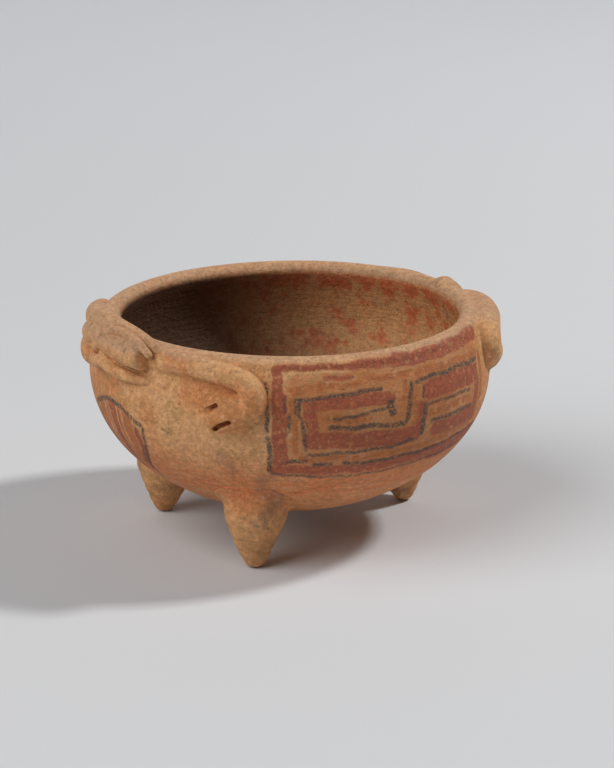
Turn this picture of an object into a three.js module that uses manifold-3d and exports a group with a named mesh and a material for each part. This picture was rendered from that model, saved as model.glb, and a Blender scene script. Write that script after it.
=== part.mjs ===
// Hand-built earthenware bowl on three short solid supports, with a squatting four-legged animal
// worked round its rim: head and jaw at one end, a bent leg with a slit paw at each quarter, tail at
// the other end. Each piece is one lump of clay as the potter made it before luting it to the wall.
// Millimetres and degrees. +Z is up, -X is where the animal looks, and the supports stand on Z = 0.
import * as THREE from "three";
import { mergeVertices } from "three/addons/utils/BufferGeometryUtils.js";
import Module from "manifold-3d";

const wasm = await Module();
wasm.setup();

// Bowl: a rounded base, a full belly and a shoulder that leans in to a thick rounded lip
const bowl = {
  bellyRadius: 92,
  bellyHeight: 78.5,
  baseHeight: 12.5,
  lipHeight: 105.2,
  lipInset: 5,
  lipWidth: 10,
  lipCrown: 5,
  wall: 8,
  floorThickness: 9,
  outOfRound: 0.9,
  rimWave: 0.3,
  rimTilt: 1.4,
  rimTiltDirection: 60,
  roundness: 2,
  facets: 64,
};

// The supports: one under the tail, two under the forelegs
const support = {
  circleRadius: 63,
  frontAngle: 45,
  rootRadius: 15.5,
  waistRadius: 13,
  shinRadius: 9.2,
  tipRadius: 6,
  restRadius: 3,
  tipRounding: 3.5,
  splay: 3,
  rootDepth: 12,
  facets: 28,
};

// Luted seams are modelled as a narrow gap between neighbouring lumps
const seam = 0.3;
// A bent leg: a roll of clay laid under the lip that turns down at the elbow
const leg = {
  halfWidth: 8,
  rise: 7.5,
  drop: 20,
  stations: 20,
  facets: 12,
};
const foreleg = { start: 18, reach: 53, topDrop: 4.2 };
const hindleg = { start: 12, reach: 50, topDrop: 0.8 };

// The paw: a flat lump turned back towards the body, with two slits that part its toes
const paw = { halfLength: 11, halfWidth: 9.2, rise: 6.6, tilt: 32, facets: 20, rows: 12 };
const toeSlit = { length: 8.8, width: 1.7, depth: 3.4, spacing: 9.2, ahead: 0.6, facets: 12, rows: 8 };
const pawShares = [0.76, 0.77];

// Along the wall, down the wall, half width and rise of the roll, as shares of the leg's own sizes
const hindlegShares = [
  [0.0, 0.02, 0.75, 0.8],
  [0.25, 0.0, 0.8, 1.0],
  [0.53, 0.03, 0.82, 1.08],
  [0.76, 0.08, 0.82, 1.1],
  [0.88, 0.18, 0.82, 1.1],
  [0.94, 0.32, 0.82, 1.08],
  [0.955, 0.47, 0.82, 1.04],
  [0.93, 0.6, 0.82, 0.98],
  [0.88, 0.7, 0.8, 0.9],
  [0.8, 0.76, 0.6, 0.6],
];
const forelegShares = [
  [0.0, -0.12, 0.7, 0.45],
  [0.25, -0.05, 0.75, 0.58],
  [0.53, 0.0, 0.75, 0.68],
  [0.78, 0.01, 0.74, 0.78],
  [0.89, 0.06, 0.74, 0.84],
  [0.95, 0.21, 0.78, 0.93],
  [0.965, 0.4, 0.82, 1.0],
  [0.94, 0.56, 0.84, 0.98],
  [0.88, 0.68, 0.8, 0.9],
  [0.8, 0.75, 0.6, 0.6],
];

// The head: a broad lump bent round the lip, with rolled eyes, a mouth groove and a rolled lower jaw
const head = {
  drop: 4,
  standOff: 0.3,
  reach: 11.5,
  halfBreadth: 32,
  halfDepth: 12.5,
  bluntness: 2.4,
  facets: 30,
  rows: 16,
};
const mouth = { halfHeight: 0.8, depth: 2, taper: 0.3 };
const jaw = { radius: 3.2, taper: 0.55 };
// Along the mouth from its middle to its corner: how far round the head and how far up it, as shares
const mouthShares = [
  [0.0, -0.2],
  [0.16, -0.42],
  [0.4, -0.6],
  [0.62, -0.7],
  [0.82, -0.62],
];
const jawShares = [
  [0.0, -0.46],
  [0.2, -0.66],
  [0.42, -0.8],
  [0.56, -0.8],
  [0.68, -0.7],
];
const eye = {
  innerAside: 2.4,
  innerStandOff: 7,
  innerRise: 1.8,
  outerAside: 29.4,
  outerStandOff: 4.5,
  outerRise: -3.4,
  bow: 3,
  halfHeight: 6,
  halfThickness: 5.4,
  lidHalfWidth: 0.8,
  lidDepth: 1.8,
  lidTurn: 38,
  stations: 18,
  facets: 14,
};
const eyeShares = [0.32, 0.6, 0.82, 0.95, 1.0, 1.0, 0.94, 0.8];
const nostril = { radius: 1.2, aside: 0.14, above: 0.5 };

// The tail: a short tapered roll that hangs from the lip opposite the head
const tail = { halfWidth: 7, rise: 6.5, topRise: 3, drop: 22, stations: 14, facets: 14 };
const tailShares = [
  [0.0, 0.72, 0.5],
  [0.25, 0.95, 0.9],
  [0.5, 0.8, 1.0],
  [0.75, 0.55, 0.7],
  [1.0, 0.22, 0.3],
];

const clay = { color: 0xb98354, roughness: 0.85, metalness: 0 };
const paleClay = { color: 0xc59a69, roughness: 0.88, metalness: 0 };
const darkClay = { color: 0x9a7148, roughness: 0.85, metalness: 0 };

const HEAD_DIRECTION = 180;
const TAIL_DIRECTION = 0;
const radians = THREE.MathUtils.degToRad;

// The closed solid of a geometry, for joining and cutting
function solidOf(geometry) {
  const bare = geometry.clone();
  bare.deleteAttribute("normal");
  bare.deleteAttribute("uv");
  const merged = mergeVertices(bare);
  return new wasm.Manifold(
    new wasm.Mesh({
      numProp: 3,
      vertProperties: new Float32Array(merged.attributes.position.array),
      triVerts: new Uint32Array(merged.index.array),
    }),
  );
}

// The geometry of a solid that was joined or cut
function geometryOf(solid) {
  const mesh = solid.getMesh();
  const geometry = new THREE.BufferGeometry();
  geometry.setAttribute("position", new THREE.BufferAttribute(new Float32Array(mesh.vertProperties), 3));
  geometry.setIndex(new THREE.BufferAttribute(new Uint32Array(mesh.triVerts), 1));
  geometry.computeVertexNormals();
  return geometry;
}

// A closed skin over rings of points, each end drawn together in its middle
function skin(rings) {
  const facets = rings[0].length;
  const middle = (ring) => ring.reduce((sum, p) => sum.add(p), new THREE.Vector3()).divideScalar(facets);
  const points = [middle(rings[0]), ...rings.flat(), middle(rings.at(-1))];
  const index = [];
  const at = (ring, k) => 1 + ring * facets + (k % facets);
  const last = rings.length - 1;
  for (let k = 0; k < facets; k++) {
    index.push(0, at(0, k + 1), at(0, k));
    index.push(points.length - 1, at(last, k), at(last, k + 1));
    for (let ring = 0; ring < last; ring++) {
      index.push(at(ring, k), at(ring, k + 1), at(ring + 1, k + 1));
      index.push(at(ring, k), at(ring + 1, k + 1), at(ring + 1, k));
    }
  }
  const geometry = new THREE.BufferGeometry().setFromPoints(points);
  geometry.setIndex(index);
  return geometry;
}

// One ring of an elliptical roll: half widths along two directions round a middle point
function ringAt(middle, side, halfSide, out, halfOut, facets) {
  return Array.from({ length: facets }, (_, k) => {
    const turn = (k / facets) * Math.PI * 2;
    return middle
      .clone()
      .addScaledVector(side, Math.cos(turn) * halfSide)
      .addScaledVector(out, Math.sin(turn) * halfOut);
  });
}

// A smooth curve through rows of numbers, read at a share of its length
function rowCurve(rows, share) {
  const place = share * (rows.length - 1);
  const from = Math.min(Math.floor(place), rows.length - 2);
  const row = (k) => rows[THREE.MathUtils.clamp(k, 0, rows.length - 1)];
  const t = place - from;
  return rows[0].map((_, column) => {
    const [a, b, c, d] = [row(from - 1), row(from), row(from + 1), row(from + 2)].map((r) => r[column]);
    return b + 0.5 * t * (c - a + t * (2 * a - 5 * b + 4 * c - d + t * (3 * (b - c) + d - a)));
  });
}

// Outside radius of the lip, where the shoulder ends
function lipRadius() {
  return bowl.bellyRadius - bowl.lipInset;
}

// Half height of the ellipse whose upper arc is the shoulder, grown by a gap
function shoulderReach(gap) {
  const rise = bowl.lipHeight - bowl.lipCrown - bowl.bellyHeight;
  return rise / Math.sqrt(1 - ((lipRadius() + gap) / (bowl.bellyRadius + gap)) ** 2);
}

// Outside radius of the wall at a height, before it is pushed out of round
function wallRadius(z, gap = 0) {
  const belly = bowl.bellyRadius + gap;
  if (z >= bowl.bellyHeight) {
    return belly * Math.sqrt(1 - ((z - bowl.bellyHeight) / shoulderReach(gap)) ** 2);
  }
  const depth = bowl.bellyHeight - bowl.baseHeight + gap;
  return belly * (1 - ((bowl.bellyHeight - z) / depth) ** bowl.roundness) ** (1 / bowl.roundness);
}

// Pushes a point of a true round bowl out of round. The rim tilts, and rises at the head and the tail
function handShaped(point) {
  const angle = Math.atan2(point.y, point.x);
  const reach = Math.hypot(point.x, point.y) / bowl.bellyRadius;
  const lift = Math.max(0, (point.z - bowl.bellyHeight) / (bowl.lipHeight - bowl.bellyHeight));
  const push = 1 + ((bowl.outOfRound * reach) / bowl.bellyRadius) * Math.cos(2 * angle);
  const wave = bowl.rimWave * Math.cos(2 * angle);
  const tilt = bowl.rimTilt * Math.cos(angle - radians(bowl.rimTiltDirection));
  return new THREE.Vector3(point.x * push, point.y * push, point.z + (wave + tilt) * lift * reach);
}

// The point of the outer wall at an angle and height, and the direction straight out of the wall
function onWall(angle, z) {
  const at = (a, h) => {
    const r = wallRadius(h);
    return handShaped(new THREE.Vector3(r * Math.cos(radians(a)), r * Math.sin(radians(a)), h));
  };
  const step = seam;
  const point = at(angle, z);
  const across = at(angle + step, z).sub(point);
  const upward = at(angle, z + step).sub(point);
  return { point, out: across.cross(upward).normalize() };
}

// Lower curve of the bowl, from its middle out to the belly
function baseCurve(radius, top, bottom, rows) {
  return Array.from({ length: rows }, (_, k) => {
    const turn = (k / rows) * (Math.PI / 2);
    const r = radius * Math.sin(turn) ** (2 / bowl.roundness);
    const z = top - (top - bottom) * Math.cos(turn) ** (2 / bowl.roundness);
    return new THREE.Vector2(r, z);
  });
}

// Upper curve of the bowl, from the belly to the foot of the lip
function shoulderCurve(inset, rows) {
  const top = bowl.lipHeight - bowl.lipCrown;
  return Array.from({ length: rows + 1 }, (_, k) => {
    const z = bowl.bellyHeight + (top - bowl.bellyHeight) * (k / rows);
    return new THREE.Vector2(wallRadius(z) - inset(k / rows), z);
  });
}

function lathe(points) {
  const geometry = new THREE.LatheGeometry(points, bowl.facets);
  geometry.rotateX(Math.PI / 2);
  const position = geometry.attributes.position;
  const point = new THREE.Vector3();
  for (let i = 0; i < position.count; i++) {
    point.fromBufferAttribute(position, i);
    const moved = handShaped(point);
    position.setXYZ(i, moved.x, moved.y, moved.z);
  }
  return geometry;
}

// The bowl's wall, floor and lip in one thrown-together body
function bowlSolid() {
  const { bellyRadius, bellyHeight, baseHeight, lipHeight, lipCrown, lipWidth } = bowl;
  const outer = baseCurve(bellyRadius, bellyHeight, baseHeight, 13);
  const shoulder = shoulderCurve(() => 0, 6);
  const lip = Array.from({ length: 7 }, (_, k) => {
    const turn = ((k + 1) / 8) * Math.PI;
    const middle = lipRadius() - lipWidth / 2;
    return new THREE.Vector2(
      middle + (lipWidth / 2) * Math.cos(turn),
      lipHeight - lipCrown + lipCrown * Math.sin(turn),
    );
  });
  const inset = (share) => THREE.MathUtils.lerp(bowl.wall, lipWidth, share);
  const inShoulder = shoulderCurve(inset, 5).reverse();
  const inner = baseCurve(bellyRadius - bowl.wall, bellyHeight, baseHeight + bowl.floorThickness, 10);
  return solidOf(lathe([...outer, ...shoulder, ...lip, ...inShoulder, ...inner.reverse()]));
}

// The bowl filled to the brim and grown by a seam, which every lump on its outside is cut by
function bowlPlug() {
  const grown = bowl.bellyRadius + seam;
  const outer = baseCurve(grown, bowl.bellyHeight, bowl.baseHeight - seam, 13);
  const shoulder = shoulderCurve(() => -seam, 6);
  const crown = Array.from({ length: 4 }, (_, k) => {
    const turn = ((k + 1) / 8) * Math.PI;
    const half = bowl.lipWidth / 2;
    return new THREE.Vector2(
      lipRadius() - half + (half + seam) * Math.cos(turn),
      bowl.lipHeight - bowl.lipCrown + (bowl.lipCrown + seam) * Math.sin(turn),
    );
  });
  const height = bowl.lipHeight + head.halfDepth;
  const top = [new THREE.Vector2(crown.at(-1).x, height), new THREE.Vector2(0, height)];
  return solidOf(lathe([...outer, ...shoulder, ...crown, ...top]));
}

// A solid cone of clay with a swollen root and a worn flat tip
function supportSolid(plug) {
  const { rootRadius, waistRadius, shinRadius, tipRadius, restRadius, tipRounding, facets } = support;
  const top = wallFoot() + support.rootDepth;
  const profile = new THREE.SplineCurve([
    new THREE.Vector2(tipRadius, tipRounding),
    new THREE.Vector2(shinRadius, top * 0.28),
    new THREE.Vector2(waistRadius, top * 0.52),
    new THREE.Vector2(rootRadius, top * 0.74),
    new THREE.Vector2(rootRadius, top),
  ]).getPoints(9);
  const foot = [new THREE.Vector2(0, 0), new THREE.Vector2(restRadius, 0)];
  const heel = new THREE.Vector2((restRadius + 2 * tipRadius) / 3, tipRounding / 3);
  const geometry = new THREE.LatheGeometry([...foot, heel, ...profile, new THREE.Vector2(0, top)], facets);
  geometry.rotateX(Math.PI / 2);
  const lean = new THREE.Matrix4().makeShear(0, 0, 0, 0, -support.splay / top, 0);
  geometry.applyMatrix4(lean);
  return (angle) => {
    const placed = geometry.clone();
    placed.translate(support.circleRadius, 0, 0);
    placed.rotateZ(radians(angle));
    return solidOf(placed).subtract(plug);
  };
}

// Height of the underside of the bowl over the middle of a support
function wallFoot() {
  const depth = bowl.bellyHeight - bowl.baseHeight;
  const share = support.circleRadius / bowl.bellyRadius;
  return bowl.bellyHeight - depth * (1 - share ** bowl.roundness) ** (1 / bowl.roundness);
}

// One leg on the wall. It starts beside a direction and runs away from it on the given side
function legSolid(limb, shares, direction, side, keepOut) {
  const top = bowl.lipHeight - bowl.lipCrown - limb.topDrop;
  const angleAt = (arc) => direction + side * (limb.start + THREE.MathUtils.radToDeg(arc / bowl.bellyRadius));
  const place = (share) => {
    const [along, down, wide, high] = rowCurve(shares, share);
    return { ...onWall(angleAt(along * limb.reach), top - down * leg.drop), wide, high };
  };
  const rings = Array.from({ length: leg.stations + 1 }, (_, k) => {
    const share = k / leg.stations;
    const near = 0.5 / leg.stations;
    const { point, out, wide, high } = place(share);
    const ahead = place(Math.min(1, share + near)).point;
    const behind = place(Math.max(0, share - near)).point;
    const across = out.clone().cross(ahead.sub(behind)).normalize();
    return ringAt(point, across, wide * leg.halfWidth, out, high * leg.rise, leg.facets);
  });
  const [pawAlong, pawDown] = pawShares;
  const pawMiddle = { arc: pawAlong * limb.reach, z: top - pawDown * leg.drop };
  const flat = { ...paw, length: paw.halfLength, width: paw.halfWidth };
  const lump = bentLump(flat, pawMiddle, angleAt, side, 0, 0, 0);
  let solid = solidOf(skin(rings)).add(lump).subtract(keepOut);
  for (const sign of [-1, 1]) {
    const blade = {
      length: toeSlit.length / 2,
      width: toeSlit.width / 2,
      rise: toeSlit.depth,
      facets: toeSlit.facets,
      rows: toeSlit.rows,
    };
    const aside = (sign * toeSlit.spacing) / 2;
    const height = paw.rise * Math.sqrt(1 - (aside / paw.halfWidth) ** 2);
    solid = solid.subtract(bentLump(blade, pawMiddle, angleAt, side, toeSlit.ahead, aside, height));
  }
  return solid;
}

// An egg-shaped lump laid along the paw's tilt and bent with the wall, at an offset from a middle
function bentLump(size, middle, angleAt, side, ahead, aside, height) {
  const lump = new THREE.SphereGeometry(1, size.facets, size.rows);
  const position = lump.attributes.position;
  const tilt = radians(paw.tilt);
  for (let i = 0; i < position.count; i++) {
    const along = ahead + size.length * position.getX(i);
    const across = aside + size.width * position.getY(i);
    const arc = middle.arc - along * Math.cos(tilt) + across * Math.sin(tilt);
    const z = middle.z - along * Math.sin(tilt) - across * Math.cos(tilt);
    const { point, out } = onWall(angleAt(arc), z);
    point.addScaledVector(out, height + side * size.rise * position.getZ(i));
    position.setXYZ(i, point.x, point.y, point.z);
  }
  return solidOf(lump);
}

// A point on the head's skin, grown by a gap. The three parts of a direction out of its middle
// point away from the bowl, round the rim and up
function onHead(direction, grow = 0) {
  const parts = direction.clone().normalize().toArray();
  const level = parts.reduce((sum, part) => sum + Math.abs(part) ** head.bluntness, 0);
  const [away, round, up] = parts.map((part) => part * level ** (-1 / head.bluntness));
  const radius = headRadius() + (head.reach + grow) * away;
  const turn = ((head.halfBreadth + grow) * round) / headRadius();
  return new THREE.Vector3(
    -radius * Math.cos(turn),
    -radius * Math.sin(turn),
    headHeight() + (head.halfDepth + grow) * up,
  );
}

// How high the middle of the head lies, a little below the top of the lip
function headHeight() {
  return bowl.lipHeight - head.drop;
}

// How far the middle of the head lies from the bowl's axis: just clear of the wall at its underside
function headRadius() {
  return wallRadius(headHeight() - head.halfDepth) + head.standOff;
}

// The head's plain lump, grown where a neighbour has to clear it
function headLump(grow = 0) {
  const lump = new THREE.SphereGeometry(1, head.facets, head.rows);
  const position = lump.attributes.position;
  const direction = new THREE.Vector3();
  for (let i = 0; i < position.count; i++) {
    direction.fromBufferAttribute(position, i);
    const { x, y, z } = onHead(direction, grow);
    position.setXYZ(i, x, y, z);
  }
  return solidOf(lump);
}

// The direction out of the head's middle that meets a share round it and a share up it
function faceDirection(round, up) {
  return new THREE.Vector3(Math.sqrt(Math.max(0, 1 - round ** 2 - up ** 2)), round, up);
}

// A roll laid round the front of the head from one corner to the other, thinner at its ends
function headRoll(shares, radiusUp, radiusOut, taper, grow = 0) {
  const stations = 22;
  const place = (way) => {
    const [round, up] = rowCurve(shares, Math.abs(way));
    return onHead(faceDirection(Math.sign(way) * round, up));
  };
  const rings = Array.from({ length: stations + 1 }, (_, k) => {
    const way = (k / stations) * 2 - 1;
    const middle = place(way);
    const along = place(Math.min(1, way + 1 / stations)).sub(place(Math.max(-1, way - 1 / stations)));
    const turn = Math.atan2(middle.y, middle.x);
    const out = new THREE.Vector3(Math.cos(turn), Math.sin(turn), 0).projectOnPlane(along.normalize());
    const across = out.normalize().clone().cross(along);
    const size = 1 - taper * way ** 4;
    return ringAt(middle, across, radiusUp * size + grow, out, radiusOut * size + grow, 10);
  });
  return solidOf(skin(rings));
}

// The eye roll on one side of the head, grown where the head has to clear it
function eyeRoll(side, grow = 0) {
  return solidOf(skin(eyeRings(side).map(({ middle, across, out, size }) => {
    const halfUp = size * eye.halfHeight + grow;
    return ringAt(middle, across, halfUp, out, size * eye.halfThickness + grow, eye.facets);
  })));
}

// The places along an eye roll, from beside the nose to the cheek
function eyeRings(side) {
  const end = (aside, standOff, rise) => {
    const turn = radians(HEAD_DIRECTION) + (side * aside) / headRadius();
    const radius = headRadius() + standOff;
    return new THREE.Vector3(radius * Math.cos(turn), radius * Math.sin(turn), headHeight() + rise);
  };
  const inner = end(eye.innerAside, eye.innerStandOff, eye.innerRise);
  const outer = end(eye.outerAside, eye.outerStandOff, eye.outerRise);
  const along = outer.clone().sub(inner).normalize();
  const out = inner.clone().add(outer).setZ(0).projectOnPlane(along).normalize();
  const across = out.clone().cross(along).normalize();
  return Array.from({ length: eye.stations + 1 }, (_, k) => {
    const share = k / eye.stations;
    const [size] = rowCurve(eyeShares.map((value) => [value]), share);
    const middle = inner.clone().lerp(outer, share).addScaledVector(out, eye.bow * 4 * share * (1 - share));
    return { middle, across, out, size };
  });
}

// The lid line pressed along an eye roll, above its middle
function lidLine(side) {
  const turn = side * radians(eye.lidTurn);
  const rings = eyeRings(side).slice(2, -1).map(({ middle, across, out, size }) => {
    const deep = out.clone().multiplyScalar(Math.cos(turn)).addScaledVector(across, Math.sin(turn));
    const wide = across.clone().multiplyScalar(Math.cos(turn)).addScaledVector(out, -Math.sin(turn));
    const crest = middle.clone().addScaledVector(deep, size * eye.halfThickness);
    return ringAt(crest, wide, eye.lidHalfWidth, deep, eye.lidDepth, 8);
  });
  return solidOf(skin(rings));
}

function nostrilSolid(side) {
  const pit = new THREE.SphereGeometry(nostril.radius, 10, 8);
  const place = onHead(faceDirection(side * nostril.aside, nostril.above));
  pit.translate(place.x, place.y, place.z);
  return solidOf(pit);
}

function mouthGroove() {
  return headRoll(mouthShares, mouth.halfHeight, mouth.depth, mouth.taper);
}

function jawRoll(grow = 0) {
  return headRoll(jawShares, jaw.radius, jaw.radius, jaw.taper, grow);
}

function headSolid(plug) {
  return headLump()
    .subtract(jawRoll(seam))
    .subtract(mouthGroove())
    .subtract(nostrilSolid(-1))
    .subtract(nostrilSolid(1))
    .subtract(eyeRoll(-1, seam))
    .subtract(eyeRoll(1, seam))
    .subtract(plug);
}

// The tail hangs down the wall, opposite the head
function tailSolid(plug) {
  const top = bowl.lipHeight - bowl.lipCrown + tail.topRise;
  const across = new THREE.Vector3(0, 1, 0);
  const rings = Array.from({ length: tail.stations + 1 }, (_, k) => {
    const share = k / tail.stations;
    const [down, wide, high] = rowCurve(tailShares, share);
    const { point, out } = onWall(TAIL_DIRECTION, top - down * tail.drop);
    return ringAt(point, across, wide * tail.halfWidth, out, high * tail.rise, tail.facets);
  });
  return solidOf(skin(rings)).subtract(plug);
}

function piece(name, solid, finish) {
  const mesh = new THREE.Mesh(geometryOf(solid), new THREE.MeshStandardMaterial(finish));
  mesh.name = name;
  return mesh;
}

const plug = bowlPlug();
const headRoom = headLump(seam).add(jawRoll(seam)).add(eyeRoll(-1, seam)).add(eyeRoll(1, seam));
const makeSupport = supportSolid(plug);
const pieces = [
  piece("bowl", bowlSolid(), clay),
  piece("support_rear", makeSupport(TAIL_DIRECTION), darkClay),
  piece("support_front_left", makeSupport(HEAD_DIRECTION + support.frontAngle), darkClay),
  piece("support_front_right", makeSupport(HEAD_DIRECTION - support.frontAngle), darkClay),
  piece("head", headSolid(plug), paleClay),
  piece("lower_jaw", jawRoll().subtract(plug), paleClay),
  piece("tail", tailSolid(plug), paleClay),
];
for (const [sideName, side] of [["left", 1], ["right", -1]]) {
  const eyeball = eyeRoll(side).subtract(lidLine(side)).subtract(plug);
  const arm = legSolid(foreleg, forelegShares, HEAD_DIRECTION, side, plug.add(headRoom));
  const haunch = legSolid(hindleg, hindlegShares, TAIL_DIRECTION, -side, plug);
  pieces.push(piece(`eye_${sideName}`, eyeball, paleClay));
  pieces.push(piece(`foreleg_${sideName}`, arm, paleClay));
  pieces.push(piece(`hindleg_${sideName}`, haunch, paleClay));
}

const model = new THREE.Group();
model.add(...pieces);

// The frame's origin is under the middle of the bowl as it stands, head and tail included
const extent = new THREE.Box3().setFromObject(model);
const middle = extent.getCenter(new THREE.Vector3());
model.position.set(-middle.x, -middle.y, -extent.min.z);

export default model;
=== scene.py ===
"""Looks of a hand-built earthenware bowl on three supports, with an animal worked round its rim.

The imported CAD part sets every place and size. Each lump of clay is shown here by a denser piece
that runs into the wall the way luted clay does. Shapes are worked out in millimetres about the
bowl's own axis and are written to the meshes in metres, in the part's frame.
"""

from __future__ import annotations

import logging
import math
from dataclasses import dataclass, replace
from enum import Enum
from typing import Sequence

import bpy
import numpy as np
from mathutils import Matrix, Vector


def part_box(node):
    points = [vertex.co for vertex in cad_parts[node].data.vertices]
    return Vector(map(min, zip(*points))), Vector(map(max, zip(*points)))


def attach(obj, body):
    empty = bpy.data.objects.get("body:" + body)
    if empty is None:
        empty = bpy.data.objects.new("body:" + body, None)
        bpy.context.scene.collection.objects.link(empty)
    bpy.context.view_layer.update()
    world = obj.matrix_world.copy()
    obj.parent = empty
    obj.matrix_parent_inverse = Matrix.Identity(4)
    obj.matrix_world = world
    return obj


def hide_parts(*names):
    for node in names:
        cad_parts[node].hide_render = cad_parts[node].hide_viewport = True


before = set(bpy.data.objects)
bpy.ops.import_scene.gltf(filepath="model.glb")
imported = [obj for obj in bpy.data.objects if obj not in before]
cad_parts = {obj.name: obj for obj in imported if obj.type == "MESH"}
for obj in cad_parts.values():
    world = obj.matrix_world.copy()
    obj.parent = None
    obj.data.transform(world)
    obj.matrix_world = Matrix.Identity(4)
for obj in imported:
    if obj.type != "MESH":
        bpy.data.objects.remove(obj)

LOG = logging.getLogger("bowl")
MM = 0.001
HEAD_DIRECTION = 180.0
TAIL_DIRECTION = 0.0
NOTHING = 1e-9
LEAST_LEVEL = 1e-3
Array = np.ndarray
Row = tuple[float, ...]
Socket = bpy.types.NodeSocket


class Side(Enum):
    """The two sides of the animal, as the sign of a turn away from its head."""

    LEFT = 1
    RIGHT = -1


class Limb(Enum):
    """Which pair a leg belongs to."""

    FORE = "foreleg"
    HIND = "hindleg"


# Shapes as distance fields


def smooth_min(a: Array, b: Array, blend: float) -> Array:
    """Joins two distance fields with a fillet about as wide as the blend."""
    share = np.maximum(blend - np.abs(a - b), 0) / blend
    return np.minimum(a, b) - share * share * blend / 4


def smooth_max(a: Array, b: Array, blend: float) -> Array:
    """Cuts one distance field by another with an eased edge."""
    return -smooth_min(-a, -b, blend)


def row_curve(rows: Sequence[Row], share: float) -> Array:
    """Reads a smooth curve through rows of numbers.

    Args:
        rows: the rows, evenly spaced along the curve.
        share: how far along it, from 0 to 1.

    Returns:
        The row there.
    """
    table = np.array(rows, float)
    place = share * (len(table) - 1)
    start = min(int(place), len(table) - 2)
    a, b, c, d = (table[min(max(k, 0), len(table) - 1)] for k in range(start - 1, start + 3))
    t = place - start
    return b + 0.5 * t * (c - a + t * (2 * a - 5 * b + 4 * c - d + t * (3 * (b - c) + d - a)))


def polyline_distance(u: Array, v: Array, line: Sequence[Row]) -> Array:
    """Distance in a plane from every place to a line.

    Args:
        u: the places along one axis.
        v: the places along the other.
        line: the line's points.

    Returns:
        The distances.
    """
    best = np.full(u.shape, np.inf, u.dtype)
    for (u0, v0), (u1, v1) in zip(line[:-1], line[1:]):
        du, dv = u1 - u0, v1 - v0
        share = np.clip(((u - u0) * du + (v - v0) * dv) / (du * du + dv * dv), 0, 1)
        best = np.minimum(best, np.hypot(u - u0 - share * du, v - v0 - share * dv))
    return best


def roll_distance(points: Array, path: Array, radii: Array) -> Array:
    """Distance to a roll of clay that follows a path and changes thickness along it.

    Args:
        points: the places.
        path: the points that the roll's middle runs through.
        radii: its half thickness at each of them.

    Returns:
        The distances, below zero inside the roll.
    """
    best = np.full(points.shape[:-1], np.inf, points.dtype)
    for a, b, radius_a, radius_b in zip(path[:-1], path[1:], radii[:-1], radii[1:]):
        length = max((b - a) @ (b - a), NOTHING)
        along = (b - a).astype(points.dtype)
        offset = points - a.astype(points.dtype)
        share = np.clip(offset @ along / length, 0, 1)
        gap = offset - share[..., None] * along
        reach = radius_a + (radius_b - radius_a) * share
        best = np.minimum(best, np.sqrt((gap * gap).sum(-1)) - reach)
    return best


def blunt_distance(parts: Sequence[Array], halves: Sequence[float], power: float = 2.0) -> Array:
    """Distance to a lump that is an ellipsoid or, with a higher power, blunter.

    Args:
        parts: offsets from the lump's middle along its axes.
        halves: its half sizes along them.
        power: 2 for an ellipsoid.

    Returns:
        The distances, below zero inside the lump.
    """
    level = sum(np.abs(part / half) ** power for part, half in zip(parts, halves))
    level = np.maximum(level ** (1 / power), LEAST_LEVEL)
    return (level - 1) / level * np.sqrt(sum(part * part for part in parts))


def surface_net(values: Array, low: Array, step: float) -> tuple[Array, Array]:
    """Draws the closed skin where a field of distances is zero.

    Args:
        values: distances on a regular grid, below zero inside the clay.
        low: the grid's lowest corner.
        step: the grid's spacing.

    Returns:
        The skin's vertices, and its four-sided faces that look outwards.
    """
    cells = np.array(values.shape) - 1
    total = np.zeros((*cells, 3))
    count = np.zeros(cells)
    found = []
    for axis, (u, v) in enumerate(((1, 2), (2, 0), (0, 1))):
        first = tuple(slice(None, -1) if k == axis else slice(None) for k in range(3))
        second = tuple(slice(1, None) if k == axis else slice(None) for k in range(3))
        f0, f1 = values[first], values[second]
        crossing = (f0 < 0) != (f1 < 0)
        corner = np.argwhere(crossing)
        start, end = f0[crossing], f1[crossing]
        point = corner.astype(float)
        point[:, axis] += start / (start - end)
        around = []
        for du, dv in ((0, 0), (-1, 0), (-1, -1), (0, -1)):
            cell = corner.copy()
            cell[:, u] += du
            cell[:, v] += dv
            around.append(cell)
            np.add.at(total, tuple(cell.T), point)
            np.add.at(count, tuple(cell.T), 1)
        found.append((around, start < 0))
    active = count > 0
    index = np.full(count.shape, -1)
    index[active] = np.arange(active.sum())
    vertices = total[active] / count[active][:, None] * step + low
    faces = []
    for around, outward in found:
        quad = np.stack([index[tuple(cell.T)] for cell in around], 1)
        faces.append(np.where(outward[:, None], quad, quad[:, ::-1]))
    return vertices, np.concatenate(faces)


# The bowl


@dataclass(frozen=True)
class BowlSizes:
    """Sizes of the bowl in millimetres, the same as the CAD part's."""

    belly_radius: float = 92.0
    belly_height: float = 78.5
    base_height: float = 12.5
    lip_height: float = 105.2
    lip_radius: float = 87.0
    lip_width: float = 10.0
    lip_crown: float = 5.0
    wall: float = 8.0
    floor: float = 9.0
    out_of_round: float = 0.9
    rim_wave: float = 0.3
    rim_tilt: float = 1.4
    rim_tilt_direction: float = 60.0
    roundness: float = 2.0


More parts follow.
